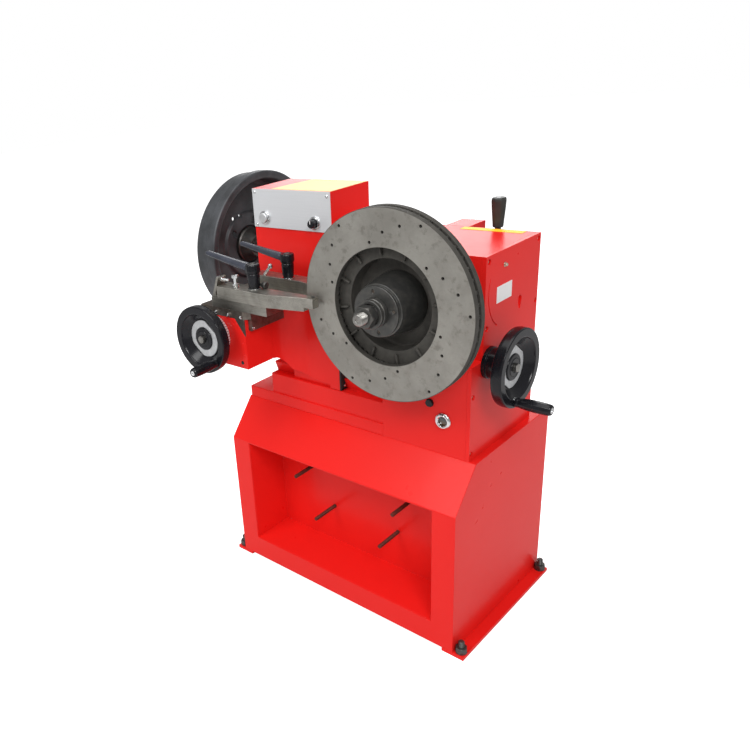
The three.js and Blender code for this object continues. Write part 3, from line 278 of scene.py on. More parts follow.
def in_row(axis, place):
    """A place along an axis in metres in the row frame, as the shaders see it."""
    return float((place + CORNER["xyz".index(axis)]) * MILLIMETRE)


def rim_distance(first, second, at):
    """Distance from an axis: the root of the sum of two squares of the offsets from it."""
    a = first - at[0]
    b = second - at[1]
    return (a * a + b * b) ** 0.5


def disc_face():
    """A disc turned on a lathe: fine rings on its faces, cloudy stains, and a dark cast rim and bore."""
    paint = Paint("disc_iron_turned")
    x, y, z = paint.parts()
    away = rim_distance(x, z, (in_row("x", DISC[0]), in_row("z", DISC[2])))
    rings = paint.noise(1.0, 2.0, 0.5, paint.vector(away * 2600.0, 0.0, 0.0))
    wide_rings = paint.noise(1.0, 1.0, 0.5, paint.vector(away * 220.0, 0.0, 0.0))
    cloud = paint.noise(16.0, 5.0, 0.62)
    smear = paint.noise(52.0, 5.0, 0.7).above(0.60, 0.18)
    face = away.above(0.1098, 0.0008) * (1 - away.above(0.1779, 0.0008))
    outside = 1 - y.above(in_row("y", -19.5), 0.0005) + y.above(in_row("y", 9.5), 0.0005)
    turned_face = face * outside
    metal = paint.blend(cloud.above(0.5, 0.45), (0.275, 0.262, 0.235), (0.375, 0.362, 0.328))
    metal = paint.blend(wide_rings.above(0.5, 0.5) * 0.25, metal, (0.30, 0.288, 0.262))
    metal = paint.blend(smear * 0.5, metal, (0.150, 0.138, 0.118))
    rust = paint.blend(paint.noise(90.0, 4.0), (0.042, 0.040, 0.036), (0.095, 0.088, 0.076))
    paint.set(
        base_color=paint.blend(turned_face, rust, metal),
        metallic=0.35 + 0.40 * turned_face,
        roughness=0.62 - 0.20 * turned_face + 0.10 * rings + 0.08 * cloud,
    )
    paint.bump(rings * turned_face * 0.25 + paint.noise(240.0, 3.0) * (1 - turned_face), 0.00018)
    return paint.material


def drum_coat():
    """Satin black coating on a cast drum: a soft pebble, and faint rings where it was turned."""
    paint = Paint("drum_coating")
    x, y, z = paint.parts()
    away = rim_distance(y, z, (in_row("y", DRUM[1]), in_row("z", DRUM[2])))
    rings = paint.noise(1.0, 2.0, 0.5, paint.vector(away * 600.0, x * 600.0, 0.0))
    cloud = paint.noise(24.0, 4.0, 0.6)
    paint.set(
        base_color=paint.blend(cloud.above(0.5, 0.5), (0.040, 0.042, 0.045), (0.080, 0.084, 0.092)),
        metallic=0.25,
        roughness=0.34 + 0.12 * cloud + 0.06 * rings,
    )
    paint.bump(paint.noise(330.0, 3.0) * 0.6 + rings * 0.4, 0.00014)
    return paint.material


def brushed_panel():
    """Brushed aluminium sheet: fine level lines and a faint cloud."""
    paint = Paint("panel_brushed", metallic=0.55)
    lines = paint.noise(1.0, 3.0, 0.6, stretched(paint, 14.0, 14.0, 2600.0))
    cloud = paint.noise(22.0, 2.0)
    paint.set(
        base_color=paint.blend(lines, (0.74, 0.75, 0.77), (0.86, 0.87, 0.89)),
        roughness=0.34 + 0.12 * lines + 0.05 * cloud,
    )
    paint.bump(lines, 0.00004)
    return paint.material


def plain_plate(name, colour):
    """A plain printed plate with nothing on it: an even matt colour with slight fading."""
    paint = Paint(name, coat_weight=0.03, coat_roughness=0.2, specular_ior_level=0.2)
    fade = paint.noise(18.0, 3.0)
    paint.set(
        base_color=paint.blend(fade * 0.5, colour, tuple(min(1.0, 1.12 * c + 0.02) for c in colour)),
        roughness=0.42 + 0.1 * fade,
    )
    paint.bump(paint.noise(400.0, 2.0), 0.00003)
    return paint.material


TICKS = 50


def dial_ring(name, first, second, at):
    """A satin dial with short dark ticks round it, found from the angle about its axis."""
    paint = Paint(name, metallic=0.4)
    parts = paint.parts()
    a = parts[first] - at[0]
    b = parts[second] - at[1]
    angle = paint.add("Math", {"operation": "ARCTAN2"}, {0: b, 1: a})
    wave = paint.add("Math", {"operation": "PINGPONG"}, {0: angle * (TICKS / TURN), 1: 0.5})
    tick = wave.above(0.40, 0.06)
    wipe = paint.noise(150.0, 3.0)
    face = paint.blend(wipe, (0.66, 0.67, 0.68), (0.80, 0.81, 0.82))
    paint.set(
        base_color=paint.blend(tick, face, (0.10, 0.10, 0.10)),
        roughness=0.24 + 0.2 * tick + 0.08 * wipe,
    )
    paint.bump(1 - tick, 0.0002)
    return paint.material


def dark_glass():
    """A dark sight glass with a little depth of colour."""
    paint = Paint("sight_lens", coat_weight=1.0, coat_roughness=0.02, roughness=0.08)
    oil = paint.parts()[2].above(in_row("z", SIGHT_GLASS[2]), 0.001)
    paint.set(base_color=paint.blend(oil, (0.055, 0.030, 0.008), (0.030, 0.032, 0.034)))
    paint.bump(paint.noise(90.0, 1.0), 0.00005)
    return paint.material


def rubber_skin():
    """Matt rubber with fine grain."""
    paint = Paint("rubber_matt")
    grain = paint.noise(500.0, 3.0)
    paint.set(
        base_color=paint.blend(grain, (0.010, 0.010, 0.010), (0.028, 0.028, 0.028)),
        roughness=0.68 + 0.2 * grain,
    )
    paint.bump(grain, 0.0001)
    return paint.material


def rusty_rod():
    """Dark threaded rod with rust in places."""
    paint = Paint("peg_rod", metallic=0.35)
    rust = paint.noise(160.0, 4.0, 0.7)
    paint.set(
        base_color=paint.blend(rust.above(0.5, 0.3), (0.060, 0.022, 0.014), (0.17, 0.035, 0.02)),
        roughness=0.5 + 0.2 * rust,
    )
    paint.bump(rust, 0.0002)
    return paint.material


# Each finish is the slot that it belongs to and its material

RED = (0.850, 0.018, 0.014)
RED_DEEP = (0.760, 0.011, 0.010)
PALE = (0.80, 0.81, 0.82)
ARM_GRAIN = (30.0, 1500.0, 1500.0)
BIT_GRAIN = (1200.0, 60.0, 1200.0)
ROUND_GRAIN = (900.0, 900.0, 900.0)
red_sheet = "red_paint", enamel("red_enamel_sheet", RED, RED_DEEP, 0.10, 0.24)
red_cast = "red_casting", enamel("red_enamel_casting", RED, RED_DEEP, 0.35, 0.26)
black_steel = "black_steel", oxide("black_oxide", (0.085, 0.085, 0.082), (0.130, 0.124, 0.114), 0.36)
dark_steel = "dark_steel", oxide("oiled_steel", (0.190, 0.165, 0.145), (0.110, 0.085, 0.068), 0.40)
black_screw = "dark_steel", black_steel[1]
arm_steel = "machined_steel", grained_steel(
    "arm_steel_ground", (0.500, 0.478, 0.430), (0.300, 0.284, 0.250), ARM_GRAIN, 0.32)
shaft_steel = "machined_steel", grained_steel(
    "shaft_steel_turned", (0.46, 0.45, 0.43), (0.24, 0.23, 0.21), ROUND_GRAIN, 0.28)
tool_steel = "tool_steel", grained_steel(
    "tool_steel_ground", (0.46, 0.44, 0.40), (0.24, 0.22, 0.19), BIT_GRAIN, 0.22)
bearing_steel = "bearing_steel", bright("bearing_steel_polished", (0.60, 0.60, 0.60), 0.14)
chrome = "chrome", bright("chrome_plate", PALE, 0.07)
zinc = "chrome", bright("zinc_plate", (0.66, 0.62, 0.50), 0.24)
bronze = "bronze", grained_steel("bronze_turned", (0.50, 0.33, 0.13), (0.30, 0.19, 0.07), ROUND_GRAIN, 0.28)
grey_iron = "grey_iron", oxide("grey_casting", (0.11, 0.12, 0.13), (0.07, 0.075, 0.08), 0.5, 0.3)
black_gloss = "black_plastic", moulding("black_moulding", (0.006, 0.006, 0.008), 0.17, 0.06)
lever_black = "black_plastic", moulding("lever_coating", (0.034, 0.037, 0.050), 0.20, 0.12)
knob_black = "black_plastic", moulding("knob_moulding", (0.027, 0.028, 0.026), 0.40, 0.05)
pale_metal = "silver_panel", bright("pale_cast_face", PALE, 0.50)
pale_cap = "chrome", pale_metal[1]
disc_iron = "disc_iron", disc_face()
drum_iron = "drum_iron", drum_coat()
panel_metal = "silver_panel", brushed_panel()
yellow_plate = "silver_panel", plain_plate("plain_yellow_plate", (0.84, 0.66, 0.28))
yellow_strip = "silver_panel", plain_plate("plain_yellow_strip", (0.93, 0.62, 0.03))
white_plate = "silver_panel", plain_plate("plain_white_plate", (0.86, 0.85, 0.84))
lens = "black_plastic", dark_glass()
rubber = "rubber", rubber_skin()
peg_steel = "dark_steel", rusty_rod()

SLOT_FINISH = dict((
    red_sheet, red_cast, black_steel, dark_steel, shaft_steel, tool_steel, bearing_steel, disc_iron,
    drum_iron, grey_iron, chrome, bronze, panel_metal, black_gloss, rubber,
))


def finish_solids():
    """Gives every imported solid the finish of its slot."""
    for part in frame["record"]["subparts"]:
        for held in frame["nodes"][part["node"]].material_slots:
            held.material = SLOT_FINISH[part["material_slot"]]


finish_solids()


# Shells: each is a pair of points in millimetres and faces


def grid_faces(rows, columns, closed=False):
    """Quads between neighbours of a grid whose rows are rings, joined from its last row to its
    first where it is closed."""
    row, column = np.meshgrid(np.arange(rows if closed else rows - 1), np.arange(columns), indexing="ij")
    below = (row + 1) % rows
    beside = (column + 1) % columns
    corners = (
        row * columns + column, row * columns + beside, below * columns + beside, below * columns + column,
    )
    return np.stack(corners, -1).reshape(-1, 4).tolist()


RIGHT, BACK, UP = np.eye(3)

# For each axis: where angle 0 points, where a quarter turn points, and the axis itself
AXES = {
    "x": (BACK, UP, RIGHT),
    "y": (RIGHT, UP, BACK),
    "-y": (RIGHT, UP, -BACK),
    "z": (RIGHT, BACK, UP),
}


def angles(sides):
    """Equal parts of a turn, in radians, from 0."""
    return np.arange(sides) / sides * TURN


def carried(axis, centre, radii, places, closed=False):
    """A shell round an axis: every row of radii and places is a ring, and a point of it is the
    centre plus its radius along its spoke plus its place along the axis."""
    across, upward, along = AXES[axis]
    angle = angles(radii.shape[1])
    spoke = np.cos(angle)[:, None] * across + np.sin(angle)[:, None] * upward
    points = np.asarray(centre, float) + radii[..., None] * spoke + places[..., None] * along
    return points.reshape(-1, 3), grid_faces(*radii.shape, closed)


EASE_STEPS = 4


def eased(points, amount, closed):
    """A chain with its corners rounded: each corner becomes a quadratic curve between two points
    cut back along its sides, no further than 0.45 of the shorter side."""
    points = np.asarray(points, float)
    before = np.roll(points, 1, 0) - points
    after = np.roll(points, -1, 0) - points
    long_before = np.maximum(np.linalg.norm(before, axis=1), 1e-9)
    long_after = np.maximum(np.linalg.norm(after, axis=1), 1e-9)
    back = np.minimum(amount, 0.45 * np.minimum(long_before, long_after))[:, None]
    start = points + before / long_before[:, None] * back
    end = points + after / long_after[:, None] * back
    t = np.linspace(0, 1, EASE_STEPS + 1)[None, :, None]
    curve = (1 - t) ** 2 * start[:, None] + 2 * t * (1 - t) * points[:, None] + t ** 2 * end[:, None]
    if closed:
        return curve.reshape(-1, 2)
    return np.concatenate((points[:1], curve[1:-1].reshape(-1, 2), points[-1:]))


def turned(axis, centre, profile, sides, ease, closed=False, reach=None):
    """A turned shell: pairs of radius and place along an axis, eased, carried round the axis.
    reach multiplies the radius by a function of the angle and the place, for flutes and flats."""
    chain = eased(profile, ease, closed)
    radius = np.repeat(chain[:, :1], sides, 1)
    place = np.repeat(chain[:, 1:], sides, 1)
    if reach:
        radius = radius * reach(angles(sides), place, radius)
    return carried(axis, centre, radius, place, closed)


def rod(axis, centre, radius, low, high, sides, ease=0.0):
    """A round bar, or the cutter for a hole, from low to high along an axis."""
    return turned(axis, centre, [(0, low), (radius, low), (radius, high), (0, high)], sides, ease)


def on_circle(middle, radius, turns):
    """Pairs on a circle at the given angles in radians: middle plus radius times cosine and sine."""
    return [(middle[0] + radius * math.cos(a), middle[1] + radius * math.sin(a)) for a in turns]


def lofted(rows):
    """A shell through rows of points, each row a closed outline, with a flat cap at both ends."""
    rows = np.asarray(rows, float)
    count, size = rows.shape[:2]
    faces = grid_faces(count, size)
    faces.append(list(range(size)))
    faces.append(list(range((count - 1) * size, count * size)))
    return rows.reshape(-1, 3), faces


def prism(axis, outline, low, high):
    """An outline square to an axis, drawn out from low to high along it."""
    across, upward, along = AXES[axis]
    outline = np.asarray(outline, float)
    flat = outline[:, :1] * across + outline[:, 1:2] * upward
    return lofted([flat + low * along, flat + high * along])


def block(x, y, z):
    """A box between two corners."""
    return prism("z", [(x[0], y[0]), (x[1], y[0]), (x[1], y[1]), (x[0], y[1])], *z)


def hexagon_reach(angle, across_flats, radius):
    """Radius of a hexagon at an angle, kept inside a round of the given radius."""
    part = np.mod(angle, TURN / 6) - TURN / 12
    return np.minimum(across_flats / 2 / np.cos(part), radius)


def nut(axis, centre, across_flats, low, high, bore, chamfer, sides=72):
    """A chamfered hexagon nut with a bore, or a bolt's head where the bore is 0: rows of hexagon
    radii, cut at both ends by the cone of the chamfer."""
    tip = across_flats / math.sqrt(3)
    full = hexagon_reach(angles(sides), across_flats, tip)
    ring = across_flats / 2 * 0.97
    drop = np.maximum(full - ring, 0) * chamfer / (tip - ring)
    even = np.ones(sides)
    lip = 0.4 if bore else 0
    inner, outer, round_end = bore * even, (bore + lip) * even, np.minimum(full, ring)
    radii = np.array([inner, outer, round_end, full, full, round_end, outer, inner])
    places = np.array([(low + lip) * even, low * even, low * even, low + drop,
                       high - drop, high * even, high * even, (high - lip) * even])
    return carried(axis, centre, radii, places, bool(bore))


def socket_screw(axis, centre, radius, low, high, socket, depth, sides=48):
    """A cap screw's head with a hexagon socket: rows from its seat, over its round edge, down the
    hexagon to the socket's floor."""
    even = np.ones(sides)
    hexed = hexagon_reach(angles(sides), socket, socket)
    ease = 0.12 * radius
    radii = np.array([0 * even, radius * even, radius * even, (radius - ease) * even,
                      hexed + 0.06 * radius, hexed, hexed, 0 * even])
    places = np.array([low, low, high - ease, high, high, high - 0.3, high - depth, high - depth])
    return carried(axis, centre, radii, places[:, None] * even)


def thread(axis, centre, radius, low, high, pitch, depth, sides=28, fine=6, chamfer=1.2):
    """A threaded rod: the radius dips in a triangle wave of the place along the rod less the angle's
    share of a turn, and falls away at both ends."""
    count = int((high - low) / pitch * fine) + 1
    place = np.linspace(low, high, count)[:, None]
    phase = np.mod(place / pitch - angles(sides) / TURN, 1.0)
    dip = depth * np.abs(2 * phase - 1)
    edge = np.minimum(place - low, high - place)
    cut_back = np.maximum(chamfer - edge, 0)
    reach = np.maximum(radius - dip - cut_back, 0.2)
    reach = np.vstack((np.zeros((1, sides)), reach, np.zeros((1, sides))))
    place = np.vstack((place[:1], place, place[-1:])) * np.ones((1, sides))
    return carried(axis, centre, reach, place)


def swept(path, widths, heights, sideways, square, sides):
    """A bar along a path whose section is a superellipse of the given half widths and heights.
    The width lies along sideways, and the height square to it and to the path."""
    path = np.asarray(path, float)
    widths = np.asarray(widths, float)[:, None, None]
    heights = np.asarray(heights, float)[:, None, None]
    heading = np.gradient(path, axis=0)
    heading /= np.linalg.norm(heading, axis=1)[:, None]
    sideways = np.broadcast_to(np.asarray(sideways, float), path.shape)
    upward = np.cross(heading, sideways)
    c, s = np.cos(angles(sides)), np.sin(angles(sides))
    a = (np.sign(c) * np.abs(c) ** (2 / square))[None, :, None]
    b = (np.sign(s) * np.abs(s) ** (2 / square))[None, :, None]
    rows = path[:, None] + a * widths * sideways[:, None] + b * heights * upward[:, None]
    return lofted(rows)


# Pieces: shells joined into one mesh, placed, finished and set on their body

JOIN = 2e-6
JOIN_CUT = 1e-6
JOIN_SOLID = 1e-5
BEVEL_STEPS = 3
SHARP_ANGLE = math.radians(31)
FLAT_ANGLE = math.radians(1)


def shells_to_mesh(name, shells):
    """One mesh from shells: doubles merged, empty faces dropped, faces turned outwards."""
    points = np.concatenate([shell[0] for shell in shells])
    starts = np.cumsum([0] + [len(shell[0]) for shell in shells[:-1]])
    faces = [[corner + int(start) for corner in face]
             for shell, start in zip(shells, starts) for face in shell[1]]
    mesh = bpy.data.meshes.new(name)
    mesh.from_pydata((points + CORNER) * MILLIMETRE, [], faces)
    tidy_mesh(mesh, JOIN)
    return mesh


def tidy_mesh(mesh, merge):
    """Joins points closer than merge, drops empty faces and turns the faces outwards."""
    work = bmesh.new()
    work.from_mesh(mesh)
    bmesh.ops.remove_doubles(work, verts=work.verts, dist=merge)
    bmesh.ops.dissolve_degenerate(work, edges=work.edges, dist=merge / 4)
    bmesh.ops.recalc_face_normals(work, faces=work.faces)
    work.to_mesh(mesh)
    work.free()


def rounded(obj, width):
    """Rounds the sharp edges with a bevel, in millimetres, and keeps the flats looking flat."""
    if width:
        bevel = obj.modifiers.new("rounded_edges", "BEVEL")
        bevel.width = width * MILLIMETRE
        bevel.segments = BEVEL_STEPS
        bevel.limit_method = "ANGLE"
        bevel.angle_limit = SHARP_ANGLE
    even = obj.modifiers.new("flat_faces", "WEIGHTED_NORMAL")
    even.keep_sharp = True


def finished(name, mesh, body, finish, stands_for, round_edges):
    """Puts a mesh in the scene as a piece: its finish, its body, and the nodes that it stands for."""
    slot, material = finish
    obj = bpy.data.objects.new(name, mesh)
    bpy.context.scene.collection.objects.link(obj)
    mesh.materials.clear()
    mesh.materials.append(material)
    mesh.polygons.foreach_set("use_smooth", np.ones(len(mesh.polygons), bool))
    rounded(obj, round_edges)
    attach(obj, body)
    if stands_for:
        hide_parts(*stands_for)


def bored(mesh, cutters):
    """Cuts closed shells out of a mesh."""
    tool = bpy.data.objects.new("cutter", shells_to_mesh("cutter", cutters))
    blank = bpy.data.objects.new("blank", mesh)
    for obj in (tool, blank):
        bpy.context.scene.collection.objects.link(obj)
    cut = blank.modifiers.new("cut", "BOOLEAN")
    cut.object = tool
    cut.operation = "DIFFERENCE"
    cut.solver = "EXACT"
    cut.use_self = True
    bpy.context.view_layer.update()
    result = bpy.data.meshes.new_from_object(blank.evaluated_get(bpy.context.evaluated_depsgraph_get()))
    for obj in (tool, blank):
        bpy.data.objects.remove(obj)
    tidy_mesh(result, JOIN_CUT)
    return result


def piece(name, shells, body, finish, stands_for=(), round_edges=0, bores=()):
    """A piece made of shells, with holes bored in it where bores are given."""
    mesh = shells_to_mesh(name, shells)
    if bores:
        mesh = bored(mesh, bores)
        mesh.name = name
    finished(name, mesh, body, finish, stands_for, round_edges)


def softened(name, node, body, finish, round_edges, bores=(), split=None):
    """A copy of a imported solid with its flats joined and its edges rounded, which stands for it.
    A flat with a large window in it is kept in two at the plane x = split."""
    mesh = frame["nodes"][node].data.copy()
    work = bmesh.new()
    work.from_mesh(mesh)
    bmesh.ops.remove_doubles(work, verts=work.verts, dist=JOIN_SOLID)
    work.to_mesh(mesh)
    work.free()
    if bores:
        mesh = bored(mesh, bores)
    work = bmesh.new()
    work.from_mesh(mesh)
    if split is not None:
        whole = [*work.verts, *work.edges, *work.faces]
        plane = (in_row("x", split), 0, 0)
        halves = bmesh.ops.bisect_plane(work, geom=whole, plane_co=plane, plane_no=(1, 0, 0))
        for part in halves["geom_cut"]:
            if isinstance(part, bmesh.types.BMEdge):
                part.seam = True
    bmesh.ops.dissolve_limit(
        work, angle_limit=FLAT_ANGLE, verts=work.verts, edges=work.edges, delimit={"SEAM"})
    work.to_mesh(mesh)
    work.free()
    mesh.name = name
    finished(name, mesh, body, finish, (node,), round_edges)


# Stand: sheet metal shell, tray with pegs, foot bars and anchor bolts


def build_stand():
    softened("stand_sheet", "stand_shell", "frame", red_sheet, 1.3, split=300)
    softened("foot_bar_left", "foot_left", "frame", red_sheet, 1.2)
    softened("foot_bar_right", "foot_right", "frame", red_sheet, 1.2)
    front, back, wall = 3.3, 113.3, 2.0
    left, right, bottom, top = 52, 549, 55, 323.5

    def frame_row(grow, y):
        """The tray's outline at a depth y, moved outwards by grow."""
        return [(left - grow, y, bottom - grow), (right + grow, y, bottom - grow),
                (right + grow, y, top + grow), (left - grow, y, top + grow)]

    rows = ((wall, back + wall), (wall, front), (0, front), (0, back))
    tray = lofted([frame_row(grow, y) for grow, y in rows])
    piece("tray_sheet", [tray], "frame", red_sheet, ("storage_tray",), 0.7)
    for number, (x, z) in enumerate(((160, 250), (430, 248), (215, 153), (395, 152))):
        piece(f"tray_peg_{number + 1}", [thread("y", (x, 0, z), 4.5, back - 75, back + 0.5, 1.5, 0.7)],
              "frame", peg_steel)
    for number, (x, y) in enumerate(((-12.5, 14), (-12.5, 366), (612.5, 14), (612.5, 366))):
        washer = turned("z", (x, y, 0), [(7, 0.1), (11.6, 0.1), (11.6, 2.2), (7, 2.2)], 40, 0.3, closed=True)
        hexed = nut("z", (x, y, 0), 22, 2.2, 14, 5.9, 1.8)
        stud = thread("z", (x, y, 0), 6.5, -7.0, 28, 1.75, 0.8)
        piece(f"anchor_bolt_{number + 1}_hardware", [washer, hexed, stud], "frame", black_steel,
              (f"anchor_bolt_{number + 1}",))


# Castings, covers and guard


def build_castings():
    softened("bed_casting", "bed", "frame", red_cast, 1.6)
    softened("headstock_casting", "headstock", "frame", red_cast, 2.2)
    cover_screws = (
        (123, 789), (311.5, 790), (314, 667), (122, 665), (81, 543), (80, 425), (313, 545), (313, 425),
    )
    drop = on_circle((246, 688), 7.5, np.linspace(-0.2, math.pi + 0.2, 15))
    drop += on_circle((246, 672), 3, np.linspace(math.pi + 0.2, TURN - 0.2, 7))
    swing = np.radians(np.linspace(158, 236, 33))
    groove = on_circle((203, 727), 80.2, swing) + on_circle((203, 727), 77.8, swing[::-1])
    bores = [rod("x", (0, y, z), 5.4, 579.5, 590, 28) for y, z in cover_screws]
    bores += [prism("x", drop, 580.0, 590), prism("x", groove, 582.6, 590)]
    softened("side_cover_plate", "side_cover", "frame", red_sheet, 1.3, bores)
    heads = [socket_screw("x", (0, y, z), 3.8, 579, 582, 3.4, 2.0) for y, z in cover_screws]
    piece("side_cover_screws", heads,
          "frame", zinc)
    softened("belt_guard_sheet", "belt_guard", "frame", red_sheet, 1.2)
    piece("grease_nipple", [turned("x", (0, 179.7, 771.4), [
        (0, 584.8), (4.4, 584.8), (4.4, 586.0), (2.6, 586.6), (2.6, 588.0), (3.4, 589.0), (2.2, 590.6),
        (0, 591.0),
    ], 32, 0.35)], "frame", zinc)
    piece("plain_side_plate", [block((584.9, 585.7), (154, 210), (704, 735))], "frame", white_plate,
          round_edges=0.25)
    piece("plain_top_strip", [block((427, 558), (297, 316), (799.9, 800.6))], "frame", yellow_strip,
          round_edges=0.2)


# Control box, its panel and what is on it


def build_controls():
    softened("control_box_sheet", "control_box", "frame", red_sheet, 1.2)
    piece("plain_box_plate", [prism("z", [(82, 113.5), (244, 113.5), (244, 238), (96, 238)], 899.9, 900.6)],
          "frame", yellow_plate, round_edges=0.2)
    holes = [rod("y", (x, 0, z), 4.4, 100, 120, 24)
             for x, z in ((203, 835.5), (62, 839))]
    sheet = block((28, 245), (109.7, 111.7), (817.3, 900))
    piece("control_panel_sheet", [sheet], "frame", panel_metal, ("control_panel",), 0.5, holes)
    corners = ((35.5, 892.5), (236.5, 890.5), (36.5, 822.5), (237, 822.5))
    head = [(0, -109.8), (3.6, -109.8), (3.4, -108.9), (1.6, -107.9), (0, -107.7)]
    piece("panel_screws", [turned("-y", (x, 0, z), head, 28, 0.3) for x, z in corners], "frame", chrome)
    knob_at = (203, 0, 835.5)
    bezel = turned("-y", knob_at, [
        (4.6, -109.6), (14, -109.6), (14, -106.4), (12, -104.6), (10.2, -104.6), (10.2, -108.6),
        (4.6, -108.6),
    ], 60, 0.5, closed=True)
    piece("selector_bezel", [bezel], "frame", chrome)

    def flutes(angle, place, radius):
        """Twelve flutes: the radius drops by a twentieth where the cosine of 12 angles is over 0.2."""
        return 1 - 0.05 * (np.cos(12 * angle) > 0.2) * (radius > 6)

    grip = turned("-y", knob_at, [
        (0, -109.2), (9.6, -109.2), (9.6, -104.5), (9.2, -103), (8.9, -95.6), (7.8, -93.6), (0, -93.2),
    ], 72, 0.5, reach=flutes)
    pointer = block((202.3, 203.7), (92.6, 94.6), (836, 843.5))
    stem = rod("-y", knob_at, 3.8, -122, -108, 24, 0.2)
    piece("selector_knob_turned", [grip, stem], "selector", black_gloss, ("selector_knob",))
    piece("selector_pointer", [pointer], "selector", white_plate, round_edges=0.2)
    button_at = (62, 0, 839)
    bezel = turned("-y", button_at, [
        (11.6, -109.6), (14.6, -109.6), (14.6, -106.4), (13.4, -105.2), (11.6, -105.2),
    ], 60, 0.5, closed=True)
    piece("button_bezel", [bezel], "frame", chrome)
    cap = turned("-y", button_at, [
        (0, -106.4), (11, -106.4), (11, -101.6), (9.6, -100.4), (0, -99.8),
    ], 60, 0.7)
    button_stem = rod("-y", button_at, 3.8, -120, -106, 24, 0.2)
    piece("start_button_cap", [cap, button_stem], "button", pale_cap, ("start_button",))


# Fittings on the headstock's front, and the shift lever behind it


def build_fittings():
    bezel = turned("-y", SIGHT_GLASS, [
        (9.2, -84), (12, -84), (12, -72.2), (17, -72.2), (17, -69.6), (15.8, -67.6), (13.4, -66),
        (11.2, -66.4), (9.4, -68), (9.2, -70),
    ], 64, 0.5, closed=True)
    piece("sight_glass_bezel", [bezel], "frame", chrome, ("sight_glass",))
    glass = turned("-y", SIGHT_GLASS, [
        (0, -76), (9.3, -76), (9.3, -71.4), (6, -70.6), (0, -70.2),
    ], 48, 0.4)
    piece("sight_glass_lens", [glass], "frame", lens)
    plug_at = (499, 0, 515.5)
    plug = turned("-y", plug_at, [
        (0, -82), (6, -82), (6, -72.3), (8.5, -72.3), (8.5, -70.6), (0, -70.6),
    ], 40, 0.3)
    piece("filler_plug_turned", [nut("-y", plug_at, 14.6, -71.9, -67.6, 0, 1.0), plug],
          "frame", black_gloss, ("filler_plug",))
    shaft = turned("y", (486, 0, 766), [
        (0, 294.2), (8, 294.2), (8, 320.6), (14, 320.6), (14, 347.5), (12.6, 349), (0, 349),
    ], 48, 0.7)
    knob_at = (486, 341, 0)
    upright = rod("z", knob_at, 6, 764, 811, 32, 0.5)
    piece("shift_lever_turned", [shaft, upright], "shifter", black_screw, ("shift_lever",))

    def facets(angle, place, radius):
        """Eight soft flats round the knob's sides."""
        part = np.mod(angle, TURN / 8) - TURN / 16
        flat = math.cos(TURN / 16) / np.cos(part)
        side = np.clip((radius - 7) / 3, 0, 1)
        return 1 + (0.65 * (flat - 1)) * side

    piece("shift_knob_turned", [turned("z", knob_at, [
        (6.3, 799), (10.4, 799), (11, 800.5), (11.4, 806), (14.2, 838), (15, 851), (14.6, 855), (12.6, 857.6),
        (5, 858), (0, 857.4), (0, 811.3), (6.3, 811.3), (6.3, 799),
    ], 64, 0.8, reach=facets)], "shifter", knob_black, ("shift_knob",))
    cap = turned("z", knob_at, [(0, 857), (10.5, 857), (10.5, 857.7), (0, 858)], 48, 0.2)
    piece("shift_knob_cap", [cap], "shifter", pale_metal)


# Disc spindle, disc and clamp

# Cross-drilled holes of the disc, in degrees and millimetres

HOLE_ROWS = 6
HOLES_IN_ROW = 4
FIRST_HOLE = 3.5
HOLE_TURN = 13.3
HOLE_STEP = 16.5
OUTER_HOLE_RADIUS = 169


def disc_holes():
    """Cross-drilled holes in slanted rows: each hole is a step further round and further in than
    the one before it."""
    bores = []
    for row in range(HOLE_ROWS):
        for step in range(HOLES_IN_ROW):
            angle = math.radians(FIRST_HOLE + 360 / HOLE_ROWS * row + HOLE_TURN * step)
            (x, z), = on_circle(DISC[::2], OUTER_HOLE_RADIUS - HOLE_STEP * step, [angle])
            bores.append(rod("y", (x, 0, z), 3.0, -30, 20, 14))
    return bores


# Number, inner and outer radius, half thickness and reach along the axis

DISC_VANES = (54, 112.0, 177.4, 3.4, -9.6, -0.4)
BORE_RIBS = (12, 92.0, 112.5, 2.0, -6.6, -0.6)


def disc_ribs():
    """Vanes between the two plates, and short ribs at the bore: blocks carried round the axis."""
    shells = []
    corners = np.array([(0, -1), (1, -1), (1, 1), (0, 1)], float)
    for count, inner, outer, half, low, high in (DISC_VANES, BORE_RIBS):
        for number in range(count):
            angle = TURN * (number + 0.3) / count
            along = np.array([math.cos(angle), 0, math.sin(angle)])
            beside = np.array([-math.sin(angle), 0, math.cos(angle)])
            flat = (np.array(DISC, float) + (inner + (outer - inner) * corners[:, :1]) * along
                    + half * corners[:, 1:2] * beside)
            shells.append(lofted([flat + (0, low, 0), flat + (0, high, 0)]))
    return shells


